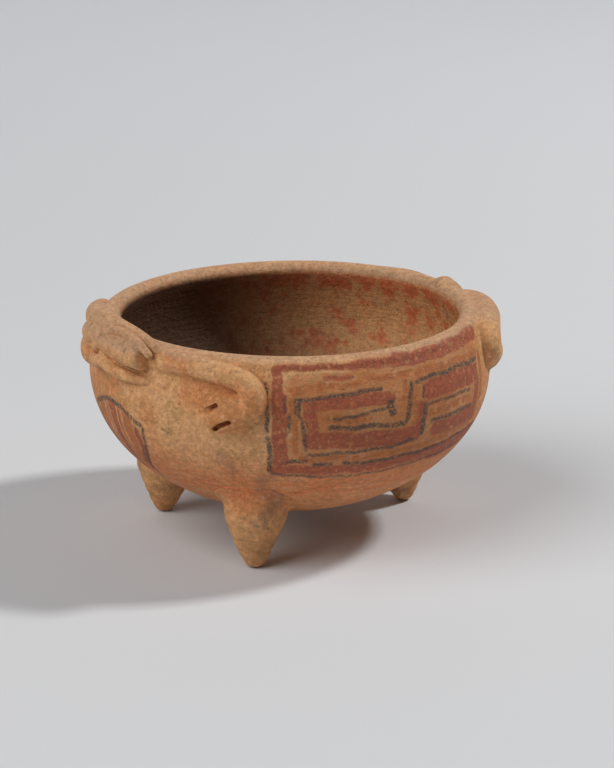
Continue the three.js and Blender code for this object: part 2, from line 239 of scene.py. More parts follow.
class HandWork:
    """The slow unevenness that fingers leave in a coiled wall."""

    ROUND = (2, 15)
    RISE = 0.12
    WEIGHT = (0.4, 1.0)

    def __init__(self, seed: int, amplitude: float, waves: int = 14) -> None:
        """Draws the waves.

        Args:
            seed: fixes the draw.
            amplitude: how far the wall wanders in or out, in millimetres.
            waves: how many waves are added up.
        """
        draw = np.random.default_rng(seed)
        self.round = draw.integers(*self.ROUND, waves)
        self.up = draw.uniform(-self.RISE, self.RISE, waves)
        self.phase = draw.uniform(0, 2 * math.pi, waves)
        self.size = draw.uniform(*self.WEIGHT, waves) * amplitude / math.sqrt(waves)

    def offset(self, angle: Array, height: Array) -> Array:
        """How far the wall stands out of true.

        Args:
            angle: turns in radians.
            height: heights in millimetres.

        Returns:
            The offsets in millimetres.
        """
        total = np.zeros(np.shape(angle))
        for count, rise, phase, size in zip(self.round, self.up, self.phase, self.size):
            total += size * np.sin(count * angle + rise * height + phase)
        return total


class Wall:
    """The bowl's wall: its outline in section, and how far any point is from its clay."""

    GRID_STEP = 0.4
    GRID_SIZE = (290, 300)
    LAST_CELL = 1.001
    OUTER_POINTS = 60
    INNER_POINTS = 44
    SHOULDER_POINTS = 22
    LIP_POINTS = 26
    LOOSE = (1.6, 0.5)
    PROBE = 0.2

    def __init__(self, sizes: BowlSizes, unevenness: HandWork) -> None:
        """Works out the section and two tables of distances to it.

        Args:
            sizes: the bowl's sizes.
            unevenness: what the fingers have left in it.
        """
        self.sizes = sizes
        self.unevenness = unevenness
        self.section = self._section()
        foot = self.section[:1] * (0, 1)
        crest = np.argmax(self.section[:, 1])
        top = self.section[crest : crest + 1]
        self._clay = self._distance_table(np.vstack([self.section, foot]))
        self._filled = self._distance_table(np.vstack([self.section[:crest], top, top * (0, 1), foot]))

    def radius(self, z: float) -> float:
        """Outside radius of the wall.

        Args:
            z: a height.

        Returns:
            The true round wall's radius there.
        """
        s = self.sizes
        if z >= s.belly_height:
            rise = s.lip_height - s.lip_crown - s.belly_height
            reach = rise / math.sqrt(1 - (s.lip_radius / s.belly_radius) ** 2)
            return s.belly_radius * math.sqrt(max(0.0, 1 - ((z - s.belly_height) / reach) ** 2))
        share = (s.belly_height - z) / (s.belly_height - s.base_height)
        return s.belly_radius * max(0.0, 1 - share**s.roundness) ** (1 / s.roundness)

    def _bowed(self, radius: float, low: float, count: int) -> list[Row]:
        """A rounded lower curve from the middle of the floor out to the belly.

        Args:
            radius: its radius at the belly.
            low: its height in the middle.
            count: how many points it has.

        Returns:
            Radius and height of each point.
        """
        power = 2 / self.sizes.roundness
        high = self.sizes.belly_height
        turns = np.linspace(0, math.pi / 2, count, endpoint=False)
        return [(radius * math.sin(t) ** power, high - (high - low) * math.cos(t) ** power) for t in turns]

    def _section(self) -> Array:
        """The closed outline of the wall, up the outside, over the lip and down the inside.

        Returns:
            Radius and height of each point.
        """
        s = self.sizes
        top = s.lip_height - s.lip_crown
        half = s.lip_width / 2
        heights = np.linspace(s.belly_height, top, self.SHOULDER_POINTS)
        inset = np.interp(heights, (s.belly_height, top), (s.wall, s.lip_width))
        lip = [
            (s.lip_radius - half + half * math.cos(t), top + s.lip_crown * math.sin(t))
            for t in np.linspace(0, math.pi, self.LIP_POINTS)[1:-1]
        ]
        return np.array([
            *self._bowed(s.belly_radius, s.base_height, self.OUTER_POINTS),
            *((self.radius(z), z) for z in heights),
            *lip,
            *[(self.radius(z) - gap, z) for z, gap in zip(heights, inset)][::-1],
            *self._bowed(s.belly_radius - s.wall, s.base_height + s.floor, self.INNER_POINTS)[::-1],
        ])

    def _distance_table(self, outline: Array) -> Array:
        """Distances to an outline on a grid of radii and heights.

        Args:
            outline: radius and height of each point.

        Returns:
            The distances, below zero inside the outline.
        """
        r, z = np.meshgrid(*(np.arange(count) * self.GRID_STEP for count in self.GRID_SIZE), indexing="ij")
        gap = polyline_distance(r, z, outline)
        inside = np.zeros(r.shape, bool)
        for (r0, z0), (r1, z1) in zip(outline[:-1], outline[1:]):
            if z0 != z1:
                crosses = (z0 > z) != (z1 > z)
                inside ^= crosses & (r < r0 + (z - z0) * (r1 - r0) / (z1 - z0))
        return np.where(inside, -gap, gap)

    def _lift(self, radius: Array, angle: Array, z: Array) -> Array:
        """How far a place of the true round bowl is lifted in the hand-built one.

        Args:
            radius: the places' distance from the axis.
            angle: their turns in radians.
            z: their heights.

        Returns:
            The lifts.
        """
        s = self.sizes
        rise = np.clip((z - s.belly_height) / (s.lip_height - s.belly_height), 0, None)
        share = rise * radius / s.belly_radius
        tilt = s.rim_tilt * np.cos(angle - math.radians(s.rim_tilt_direction))
        return (s.rim_wave * np.cos(2 * angle) + tilt) * share

    def _loose(self, radius: Array, angle: Array, z: Array) -> Array:
        """How far the fingers have pushed the wall out, which fades towards the middle.

        Args:
            radius: distance from the axis.
            angle: turns in radians.
            z: heights.

        Returns:
            The lengths, below zero where the wall is pushed in.
        """
        gain, start = self.LOOSE
        share = np.clip(radius / self.sizes.belly_radius * gain - start, 0, 1)
        return share * self.unevenness.offset(angle, z)

    def shaped(self, radius: Array, angle: Array, z: Array) -> Array:
        """Turns places of a true round bowl into the same places of the hand-built one.

        Args:
            radius: their distance from the axis.
            angle: their turns in radians.
            z: their heights.

        Returns:
            The places in the hand-built bowl.
        """
        s = self.sizes
        push = s.out_of_round * radius / s.belly_radius * np.cos(2 * angle)
        out = radius * (1 + push / s.belly_radius) + self._loose(radius, angle, z)
        return np.stack([out * np.cos(angle), out * np.sin(angle), z + self._lift(radius, angle, z)], -1)

    def distances(self, points: Array) -> tuple[Array, Array]:
        """How far points are from the bowl's clay and from the bowl as if filled.

        Args:
            points: the points.

        Returns:
            Both distances, below zero inside.
        """
        s = self.sizes
        radius = np.hypot(points[..., 0], points[..., 1])
        angle = np.arctan2(points[..., 1], points[..., 0])
        z = points[..., 2] - self._lift(radius, angle, points[..., 2])
        push = s.out_of_round * np.cos(2 * angle) / s.belly_radius
        true = (radius - self._loose(radius, angle, z)) / (1 + push)
        column, row = (
            np.clip(place / self.GRID_STEP, 0, count - self.LAST_CELL)
            for place, count in zip((true, z), self.GRID_SIZE)
        )
        i, j = column.astype(int), row.astype(int)
        a, b = column - i, row - j

        def read(table: Array) -> Array:
            """A table's value at each point, between its four nearest cells.

            Args:
                table: the distances at the corners of the cells.

            Returns:
                The values.
            """
            low = table[i, j] * (1 - a) + table[i + 1, j] * a
            high = table[i, j + 1] * (1 - a) + table[i + 1, j + 1] * a
            return low * (1 - b) + high * b

        return read(self._clay), read(self._filled)

    def on_wall(self, angle: float, z: float, out: float = 0.0) -> Array:
        """A point over the outer wall.

        Args:
            angle: its turn in degrees.
            z: its height on the true round wall.
            out: how far it stands off the wall.

        Returns:
            The point.
        """
        turn = math.radians(angle)
        aside = turn + self.PROBE / self.sizes.belly_radius
        here, across, above = (
            self.shaped(np.array(self.radius(height)), np.array(at), np.array(height))
            for at, height in ((turn, z), (aside, z), (turn, z + self.PROBE))
        )
        normal = np.cross(across - here, above - here)
        return here + out * normal / np.linalg.norm(normal)


# Lumps worked onto the wall


@dataclass(frozen=True)
class Luting:
    """How a lump is worked onto the bowl: widths in millimetres."""

    fillet: float = 2.6
    skirt: float = 2.4
    tuck: float = 0.12
    root: float = 2.0
    step: float = 0.5


class Lump:
    """A piece of clay worked onto the wall, drawn from a field of distances."""

    def __init__(self, name: str, slot: str, wall: Wall, luting: Luting, low: Row, high: Row) -> None:
        """Keeps what every lump needs.

        Args:
            name: the CAD node that the lump stands for.
            slot: the record's material slot.
            wall: the wall that it is worked onto.
            luting: how it meets the wall.
            low: lowest corner of the space it needs.
            high: highest corner of that space.
        """
        self.name = name
        self.slot = slot
        self.wall = wall
        self.luting = luting
        self.low = np.array(low, float)
        self.high = np.array(high, float)

    def shape(self, points: Array) -> Array:
        """Distance to the lump's own clay."""
        raise NotImplementedError

    def skin(self) -> tuple[Array, Array]:
        """The lump's closed skin, run into the wall and rooted under its surface.

        Returns:
            The skin's vertices in millimetres and its faces.
        """
        luting = self.luting
        axes = [np.arange(a, b, luting.step) for a, b in zip(self.low, self.high)]
        points = np.stack(np.meshgrid(*axes, indexing="ij"), -1).astype(np.float32)
        own = self.shape(points)
        clay, filled = self.wall.distances(points)
        values = smooth_min(own, clay + luting.tuck, luting.fillet)
        values = np.maximum(values, -(filled + luting.root))
        values = np.maximum(values, own - luting.skirt)
        values[[0, -1]] = values[:, [0, -1]] = values[:, :, [0, -1]] = luting.step
        return surface_net(values, self.low, luting.step)


@dataclass(frozen=True)
class LegSizes:
    """Sizes of a bent leg in millimetres, and its course as shares of them: along, down, width, rise."""

    start: float
    reach: float
    top_drop: float
    course: tuple[Row, ...]
    half_width: float = 8.0
    rise: float = 7.5
    drop: float = 20.0
    paw_half_length: float = 10.4
    paw_half_width: float = 8.6
    paw_rise: float = 8.4
    paw_blend: float = 4.0
    slit_depth: float = 4.4
    slit_width: float = 1.0
    slit_sharpness: int = 4
    paw: Row = (0.74, 0.78)
    paw_tilt: float = 32.0
    slits: tuple[tuple[Row, ...], ...] = (
        ((0.69, 0.56), (0.6, 0.71), (0.5, 0.9)),
        ((0.8, 0.88), (0.72, 0.98), (0.66, 1.12)),
    )


FORELEG = LegSizes(18.0, 53.0, 4.2, (
    (-0.08, -0.14, 0.78, 0.24),
    (0.02, -0.17, 0.78, 0.42),
    (0.25, -0.18, 0.68, 0.74),
    (0.53, -0.12, 0.6, 0.94),
    (0.78, -0.02, 0.6, 1.04),
    (0.89, 0.06, 0.62, 1.12),
    (0.95, 0.21, 0.66, 1.16),
    (0.965, 0.40, 0.7, 1.14),
    (0.94, 0.56, 0.76, 1.06),
    (0.88, 0.68, 0.82, 0.98),
    (0.8, 0.75, 0.86, 0.92),
))
HINDLEG = LegSizes(12.0, 50.0, 0.8, (
    (-0.12, 0.02, 0.6, 0.5),
    (0.0, 0.02, 0.72, 0.8),
    (0.25, 0.0, 0.76, 1.04),
    (0.53, 0.03, 0.76, 1.14),
    (0.76, 0.06, 0.76, 1.16),
    (0.88, 0.14, 0.78, 1.14),
    (0.94, 0.26, 0.78, 1.1),
    (0.955, 0.4, 0.8, 1.04),
    (0.93, 0.5, 0.84, 0.96),
    (0.88, 0.58, 0.86, 0.88),
    (0.8, 0.64, 0.86, 0.8),
), paw=(0.74, 0.66), paw_rise=5.2, paw_half_width=8.4, paw_half_length=11.0)
FAR_HINDLEG = replace(HINDLEG, top_drop=3.4)


class Roll(Lump):
    """A lump rolled along a path, thick and thin by turns."""

    def __init__(self, name: str, wall: Wall, luting: Luting, path: Array, radii: Array, room: float) -> None:
        """Lays the roll.

        Args:
            name: the CAD node that it stands for.
            wall: the wall that it is worked onto.
            luting: how it meets the wall.
            path: the points that its middle runs through.
            radii: its half thickness at each of them.
            room: free space round the path.
        """
        super().__init__(name, "clay_figure", wall, luting, path.min(0) - room, path.max(0) + room)
        self.path = path
        self.radii = radii

    def shape(self, points: Array) -> Array:
        """Distance to the roll."""
        return roll_distance(points, self.path, self.radii)


class Leg(Roll):
    """A leg that runs out under the lip, turns down at the elbow and ends in a slit paw."""

    POINTS = 30
    ROOM = 6.0

    def __init__(self, limb: Limb, side: Side, sizes: LegSizes, wall: Wall) -> None:
        """Places the leg on its quarter of the bowl.

        Args:
            limb: the pair that it belongs to.
            side: its side of the animal.
            sizes: its sizes.
            wall: the wall that it lies on.
        """
        self.sizes = sizes
        self.belly = wall.sizes.belly_radius
        self.direction = HEAD_DIRECTION if limb is Limb.FORE else TAIL_DIRECTION
        self.sign = side.value if limb is Limb.FORE else -side.value
        self.top = wall.sizes.lip_height - wall.sizes.lip_crown - sizes.top_drop
        rows = [row_curve(sizes.course, share) for share in np.linspace(0, 1, self.POINTS)]
        path = np.array([self._centre(wall, *row) for row in rows])
        radii = np.array([row[2] * sizes.half_width for row in rows])
        name = f"{limb.value}_{side.name.lower()}"
        super().__init__(name, wall, Luting(fillet=2.0), path, radii, sizes.half_width + self.ROOM)

    def _angle(self, along: float) -> float:
        """Angle round the bowl of a share along the leg."""
        turn = along * self.sizes.reach / self.belly
        return self.direction + self.sign * (self.sizes.start + math.degrees(turn))

    def _centre(self, wall: Wall, along: float, down: float, wide: float, high: float) -> Array:
        """Middle of the roll at one place of the course."""
        out = high * self.sizes.rise - wide * self.sizes.half_width
        return wall.on_wall(self._angle(along), self.top - down * self.sizes.drop, out)

    def shape(self, points: Array) -> Array:
        """Distance to the roll and its paw, with the slits between the toes.

        Args:
            points: the places.

        Returns:
            The distances, below zero inside.
        """
        s = self.sizes
        middle, level = self._angle(s.paw[0]), self.top - s.paw[1] * s.drop
        turn = (np.degrees(np.arctan2(points[..., 1], points[..., 0])) - middle + 180) % 360 - 180
        u = self.sign * np.radians(turn) * self.belly
        v = points[..., 2] - level
        cosine, sine = math.cos(math.radians(s.paw_tilt)), math.sin(math.radians(s.paw_tilt))
        centre = self.wall.on_wall(middle, level)
        height = np.hypot(points[..., 0], points[..., 1]) - np.hypot(centre[0], centre[1])
        parts = (-u * cosine - v * sine, u * sine - v * cosine, height)
        paw = blunt_distance(parts, (s.paw_half_length, s.paw_half_width, s.paw_rise))
        both = smooth_min(super().shape(points), paw, s.paw_blend)
        for slit in s.slits:
            line = [((a - s.paw[0]) * s.reach, (s.paw[1] - d) * s.drop) for a, d in slit]
            gap = polyline_distance(u, v, line) / s.slit_width
            both = both + s.slit_depth * np.exp(-(gap**s.slit_sharpness))
        return both


@dataclass(frozen=True)
class TailSizes:
    """The short tail roll: its course as drop, half width and rise in millimetres."""

    course: tuple[Row, ...] = (
        (-3.0, 5.0, 3.2),
        (2.5, 6.6, 5.8),
        (8.0, 5.6, 6.5),
        (13.5, 3.8, 4.6),
        (19.0, 1.6, 2.0),
    )


class Tail(Roll):
    """The tail, a short tapered roll that hangs from the lip."""

    POINTS = 14
    ROOM = 12.0

    def __init__(self, sizes: TailSizes, wall: Wall) -> None:
        """Places the tail opposite the head.

        Args:
            sizes: its sizes.
            wall: the wall that it lies on.
        """
        top = wall.sizes.lip_height - wall.sizes.lip_crown
        rows = [row_curve(sizes.course, share) for share in np.linspace(0, 1, self.POINTS)]
        path = np.array([wall.on_wall(TAIL_DIRECTION, top - drop, high - wide) for drop, wide, high in rows])
        super().__init__("tail", wall, Luting(), path, np.array([row[1] for row in rows]), self.ROOM)


@dataclass(frozen=True)
class FaceSizes:
    """Sizes of the head and the rolls on it. Courses are turn in degrees, height, radius, thickness."""

    radius: float = 91.2
    height: float = 100.8
    reach: float = 5.2
    half_breadth: float = 26.0
    half_depth: float = 11.2
    bluntness: float = 2.2
    snout: Row = (92.4, 103.4, 7.4, 11.0, 9.2)
    brow: tuple[Row, ...] = (
        (0.0, 110.6, 92.0, 2.4),
        (6.0, 110.4, 91.6, 2.6),
        (12.0, 108.4, 90.8, 2.8),
        (17.0, 105.4, 89.8, 2.6),
        (21.0, 101.8, 88.4, 2.0),
    )
    lid: tuple[Row, ...] = (
        (3.0, 106.8, 97.4, 1.1),
        (6.5, 109.0, 95.6, 1.9),
        (11.0, 108.6, 94.6, 2.1),
        (15.5, 106.0, 94.2, 2.0),
        (19.0, 101.6, 93.8, 1.7),
    )
    lobe: tuple[Row, ...] = (
        (3.0, 102.6, 98.0, 1.8),
        (6.0, 102.6, 96.2, 4.3),
        (10.0, 101.6, 94.9, 5.6),
        (13.5, 100.2, 94.2, 5.8),
        (19.0, 98.4, 92.6, 5.2),
    )
    lobe_end: float = 16.8
    far_sink: float = 2.2
    nostril: Row = (4.0, 104.8)
    nostril_depth: float = 1.3
    nostril_width: float = 1.1
    mouth: tuple[Row, ...] = ((0.0, 98.7), (2.6, 95.4), (7.5, 93.2), (12.0, 91.6), (17.6, 91.4))
    mouth_depth: float = 2.0
    mouth_width: float = 0.8
    snout_blend: float = 4.0
    brow_blend: float = 2.5
    jaw_blend: float = 1.0
    lobe_blend: float = 1.6
    lid_blend: float = 0.5
    jaw: tuple[Row, ...] = (
        (0.0, 93.0, 95.6, 3.1),
        (4.0, 90.9, 95.4, 3.1),
        (8.5, 89.4, 94.2, 2.8),
        (13.0, 88.6, 92.6, 2.3),
        (17.0, 88.6, 91.2, 1.5),
    )


class Face(Lump):
    """What the head, the jaw and the eyes have in common."""

    LOW = (-108.0, -46.0, 78.0)
    HIGH = (-72.0, 46.0, 117.0)
    POINTS = 12

    def __init__(self, name: str, sizes: FaceSizes, wall: Wall, luting: Luting) -> None:
        """Keeps the sizes of the face."""
        super().__init__(name, "clay_figure", wall, luting, self.LOW, self.HIGH)
        self.sizes = sizes

    def polar(self, points: Array) -> tuple[Array, Array, Array, Array]:
        """Places as the face's sizes give them.

        Args:
            points: the places.

        Returns:
            Radius, turn from the nose in degrees towards the animal's left, height, and the turn as an arc.
        """
        x, y, z = (points[..., k] for k in range(3))
        turn = np.degrees(np.arctan2(y, x)) % 360 - HEAD_DIRECTION
        return np.hypot(x, y), turn, z, np.radians(turn) * self.sizes.radius

    def rolled(self, points: Array, course: Sequence[Row], sign: float) -> Array:
        """Distance to a roll that is laid round the face.

        Args:
            points: the places.
            course: turn in degrees, height, radius and thickness of each point of the roll.
            sign: which side of the nose it lies on.

        Returns:
            The distances, below zero inside.
        """
        rows = np.array([row_curve(course, share) for share in np.linspace(0, 1, self.POINTS)])
        turn = np.radians(HEAD_DIRECTION + sign * rows[:, 0])
        path = np.stack([rows[:, 2] * np.cos(turn), rows[:, 2] * np.sin(turn), rows[:, 1]], 1)
        return roll_distance(points, path, rows[:, 3])


class Head(Face):
    """The head with its snout and brows, pressed in where the mouth and the nostrils are."""

    def _skull(self, points: Array) -> Array:
        """Distance to the head before it is pressed in.

        Args:
            points: the places.

        Returns:
            The distances, below zero inside.
        """
        s = self.sizes
        radius, _, z, arc = self.polar(points)
        halves = (s.reach, s.half_breadth, s.half_depth)
        lump = blunt_distance((radius - s.radius, arc, z - s.height), halves, s.bluntness)
        centre, height, *halves = s.snout
        whole = smooth_min(lump, blunt_distance((radius - centre, arc, z - height), halves), s.snout_blend)
        for sign in (-1, 1):
            whole = smooth_min(whole, self.rolled(points, s.brow, sign), s.brow_blend)
        return whole

    def shape(self, points: Array) -> Array:
        """Distance to the head.

        Args:
            points: the places.

        Returns:
            The distances, below zero inside.
        """
        s = self.sizes
        _, _, z, arc = self.polar(points)
        arc = np.abs(arc)
        line = [(math.radians(turned) * s.radius, height) for turned, height in s.mouth]
        gap = polyline_distance(arc, z, line) / s.mouth_width
        pit = np.hypot(arc - s.nostril[0], z - s.nostril[1]) / s.nostril_width
        return self._skull(points) + s.mouth_depth * np.exp(-(gap**2)) + s.nostril_depth * np.exp(-(pit**2))


class Jaw(Face):
    """The lower jaw, a roll laid under the mouth."""

    def shape(self, points: Array) -> Array:
        """Distance to both halves of the jaw."""
        halves = (self.rolled(points, self.sizes.jaw, sign) for sign in (-1, 1))
        return smooth_min(*halves, self.sizes.jaw_blend)


class Eye(Face):
    """A coffee-bean eye: a lobe with a lid rolled over it and a cut end at the cheek."""

    def __init__(self, side: Side, sizes: FaceSizes, wall: Wall, luting: Luting) -> None:
        """Places the eye.

        Args:
            side: its side of the animal.
            sizes: the sizes of the face.
            wall: the wall that it is worked onto.
            luting: how it meets the wall.
        """
        super().__init__(f"eye_{side.name.lower()}", sizes, wall, luting)
        self.sign = side.value
        self.sink = sizes.far_sink if side is Side.RIGHT else 0.0

    def shape(self, points: Array) -> Array:
        """Distance to the lobe and its lid.

        Args:
            points: the places.

        Returns:
            The distances, below zero inside.
        """
        s = self.sizes
        courses = (s.lobe, s.lid)
        sunk = ([(turn, z, out - self.sink, half) for turn, z, out, half in course] for course in courses)
        lobe, lid = (self.rolled(points, course, self.sign) for course in sunk)
        _, turned, _, _ = self.polar(points)
        end = np.radians(self.sign * turned - s.lobe_end) * s.radius
        return smooth_min(smooth_max(lobe, end.astype(lobe.dtype), s.lobe_blend), lid, s.lid_blend)


@dataclass(frozen=True)
class SupportSizes:
    """A solid conical support: lean, and height and radius along it, in millimetres."""

    circle: float = 63.0
    splay: float = 3.0
    tip_blend: float = 1.2
    course: tuple[Row, ...] = ((36.0, 14.6), (26.0, 14.2), (20.6, 12.4), (15.0, 10.1), (9.4, 7.7), (5.4, 5.6))


class Support(Lump):
    """A solid cone of clay with a worn flat tip, where it stands under the tail."""

    LUTING = Luting(fillet=5.0, skirt=4.2, root=2.5, step=0.6)
    LOW = (38.0, -24.0, -2.0)
    HIGH = (92.0, 24.0, 52.0)

    def __init__(self, sizes: SupportSizes, wall: Wall) -> None:
        """Builds the support.

        Args:
            sizes: its sizes.
            wall: the wall that it is worked onto.
        """
        super().__init__("support", "clay_support", wall, self.LUTING, self.LOW, self.HIGH)
        top = sizes.course[0][0]
        self.path = np.array([(sizes.circle - sizes.splay * z / top, 0.0, z) for z, _ in sizes.course])
        self.radii = np.array([radius for _, radius in sizes.course])
        self.tip_blend = sizes.tip_blend

    def shape(self, points: Array) -> Array:
        """Distance to the cone, cut off level where it has worn."""
        return smooth_max(roll_distance(points, self.path, self.radii), -points[..., 2], self.tip_blend)


# Colours and node trees


@dataclass(frozen=True)
class Grain:
    """A noise: how wide its blobs are in millimetres, how much detail it has and how rough it is."""

    size: float
    detail: float = 3.0
    rough: float = 0.55


@dataclass(frozen=True)
class Coat:
    """A colour that comes over the clay as a field goes from one level to another."""

    field: str
    low: float
    high: float
    color: Row
    share: float = 1.0
    blend: str = "MIX"


# The noises that the coats of colour and the relief follow
GRAINS = {
    "broad": Grain(26.0),
    "medium": Grain(9.0, 4.0, 0.6),
    "fine": Grain(2.4, 5.0, 0.65),
    "grit": Grain(1.1, 3.0, 0.7),
    "cloud": Grain(34.0, 4.0, 0.6),
    "pit": Grain(1.6, 2.0),
}
# How far each field stands out in the relief
RELIEF = {"streak": 0.3, "fine": 0.35, "grit": 0.12}
# How fast the wiped marks change along each field, and the levels between which they come in
WIPE_SCALE = {"turn": 6.0, "z": 0.55}
WIPE_REACH = {"radius": (12.0, 40.0), "z": (24.0, 40.0)}
ORANGE_CLAY = (0.62, 0.25, 0.086)
# Pale grit specks; the same colour is the painted highlight on ridges
PALE_GRIT_AND_HIGHLIGHT = (0.66, 0.47, 0.31)
SMOKE = (0.13, 0.10, 0.085)


@dataclass(frozen=True)
class ClayFinish:
    """Colours and wear of the fired clay, with painted shade and painted highlights. A row of two or four
    levels is an eased step for Nodes.between.
    """

    tan: Row = (0.70, 0.365, 0.16)
    orange: Coat = Coat("broad", 0.42, 0.62, ORANGE_CLAY)
    olive: Coat = Coat("medium", 0.5, 0.68, (0.51, 0.27, 0.095), 0.6)
    pink: Coat = Coat("fine", 0.52, 0.72, (0.76, 0.44, 0.24), 0.45)
    low: Coat = Coat("z", 68.0, 40.0, (0.65, 0.205, 0.075))
    low_streaks: Row = (0.36, 0.6, 0.35, 1.0)
    lip: Coat = Coat("z", 101.0, 103.6, (0.56, 0.33, 0.19), 0.7)
    cloud: Coat = Coat("cloud", 0.62, 0.76, SMOKE, 0.5)
    grain_dark: Coat = Coat("grit", 0.57, 0.69, (0.16, 0.09, 0.05), 0.6)
    grain_pale: Coat = Coat("grit", 0.36, 0.27, PALE_GRIT_AND_HIGHLIGHT, 0.35)
    # Painted shade in hollows and a painted highlight on ridges, both read from the mesh's pointiness
    hollow_shade: Coat = Coat("edge", 0.49, 0.40, (0.42, 0.36, 0.30), 0.75, "MULTIPLY")
    ridge_highlight: Coat = Coat("edge", 0.515, 0.59, PALE_GRIT_AND_HIGHLIGHT, 0.5)
    mottle: Row = (0.3, 0.7, 0.76, 1.12)
    low_reach: Row = (38.0, 22.0)
    inside: Row = (0.59, 0.30, 0.125)
    inside_red: Coat = Coat("red", 0.5, 0.64, (0.56, 0.12, 0.045), 0.85)
    inside_orange: Coat = Coat("fine", 0.55, 0.7, ORANGE_CLAY, 0.4)
    # Painted shade: the inside grows near black towards one side, where the light does not reach
    painted_shade_side: Coat = Coat("painted_shade_side", -52.0, 50.0, (0.03, 0.016, 0.011), 0.95)
    inside_lean: float = 1.0
    inside_edge: Row = (-0.6, 0.6)
    inside_top: Row = (104.0, 100.0, 0.0, 0.95)
    red_rise: Row = (88.0, 101.0, 0.0, 0.12)
    wipe: Grain = Grain(1.0, 4.0, 0.6)
    roughness: Row = (0.3, 0.75, 0.56, 0.81)
    specular: float = 0.32
    pits: Row = (0.36, 0.26, 0.0, -0.5)
    bump: float = 0.6
    bump_depth: float = 0.003


@dataclass(frozen=True)
class Firing:
    """What sets one slot's clay apart: whether it is painted, and the tint and smoke of its low places."""

    painted: bool = False
    tint: Row = (1.0, 1.0, 1.0)
    smoke: Coat | None = None


FIRINGS = {
    "clay_body": Firing(painted=True),
    "clay_support": Firing(tint=(1.06, 1.18, 1.12), smoke=Coat("medium", 0.3, 0.7, SMOKE, 0.22)),
    "clay_figure": Firing(),
}


@dataclass(frozen=True)
class PaintFinish:
    """One slip paint: its colour, how ragged its edge is, how much of it has worn off and in what grain."""

    color: Row
    ragged: float
    worn: float
    grain: Grain
    edge: Row = (0.7, -0.6)
    wear_reach: Row = (-0.09, 0.11)
    kept: Row = (0.25, 0.95)


class Slip(Enum):
    """The slip paints, in the order that they were brushed on."""

    ORANGE = PaintFinish((0.47, 0.15, 0.045), 0.9, 0.41, Grain(3.2, 5.0, 0.7))
    RED = PaintFinish((0.39, 0.095, 0.046), 1.0, 0.40, Grain(2.2, 5.0, 0.7))
    BLACK = PaintFinish((0.075, 0.06, 0.052), 1.0, 0.45, Grain(1.1, 5.0, 0.7))

    @property
    def attribute(self) -> str:
        """Name of the mesh attribute that says how far a place is from the paint's strokes."""
        return f"gap_{self.name.lower()}"


Stroke = tuple[float, tuple[tuple[float, float], ...]]

# The wash under the fret: wide strokes, nowhere denser than the edge of a painted one
WASH: tuple[Stroke, ...] = (
    (6.4, ((117, 92), (88, 93), (57, 91))),
    (6.4, ((117, 79), (56, 79))),
    (6.4, ((117, 66), (56, 68))),
    (4.0, ((119, 57), (85, 56), (56, 59))),
)
WASH_GAP = 0.0

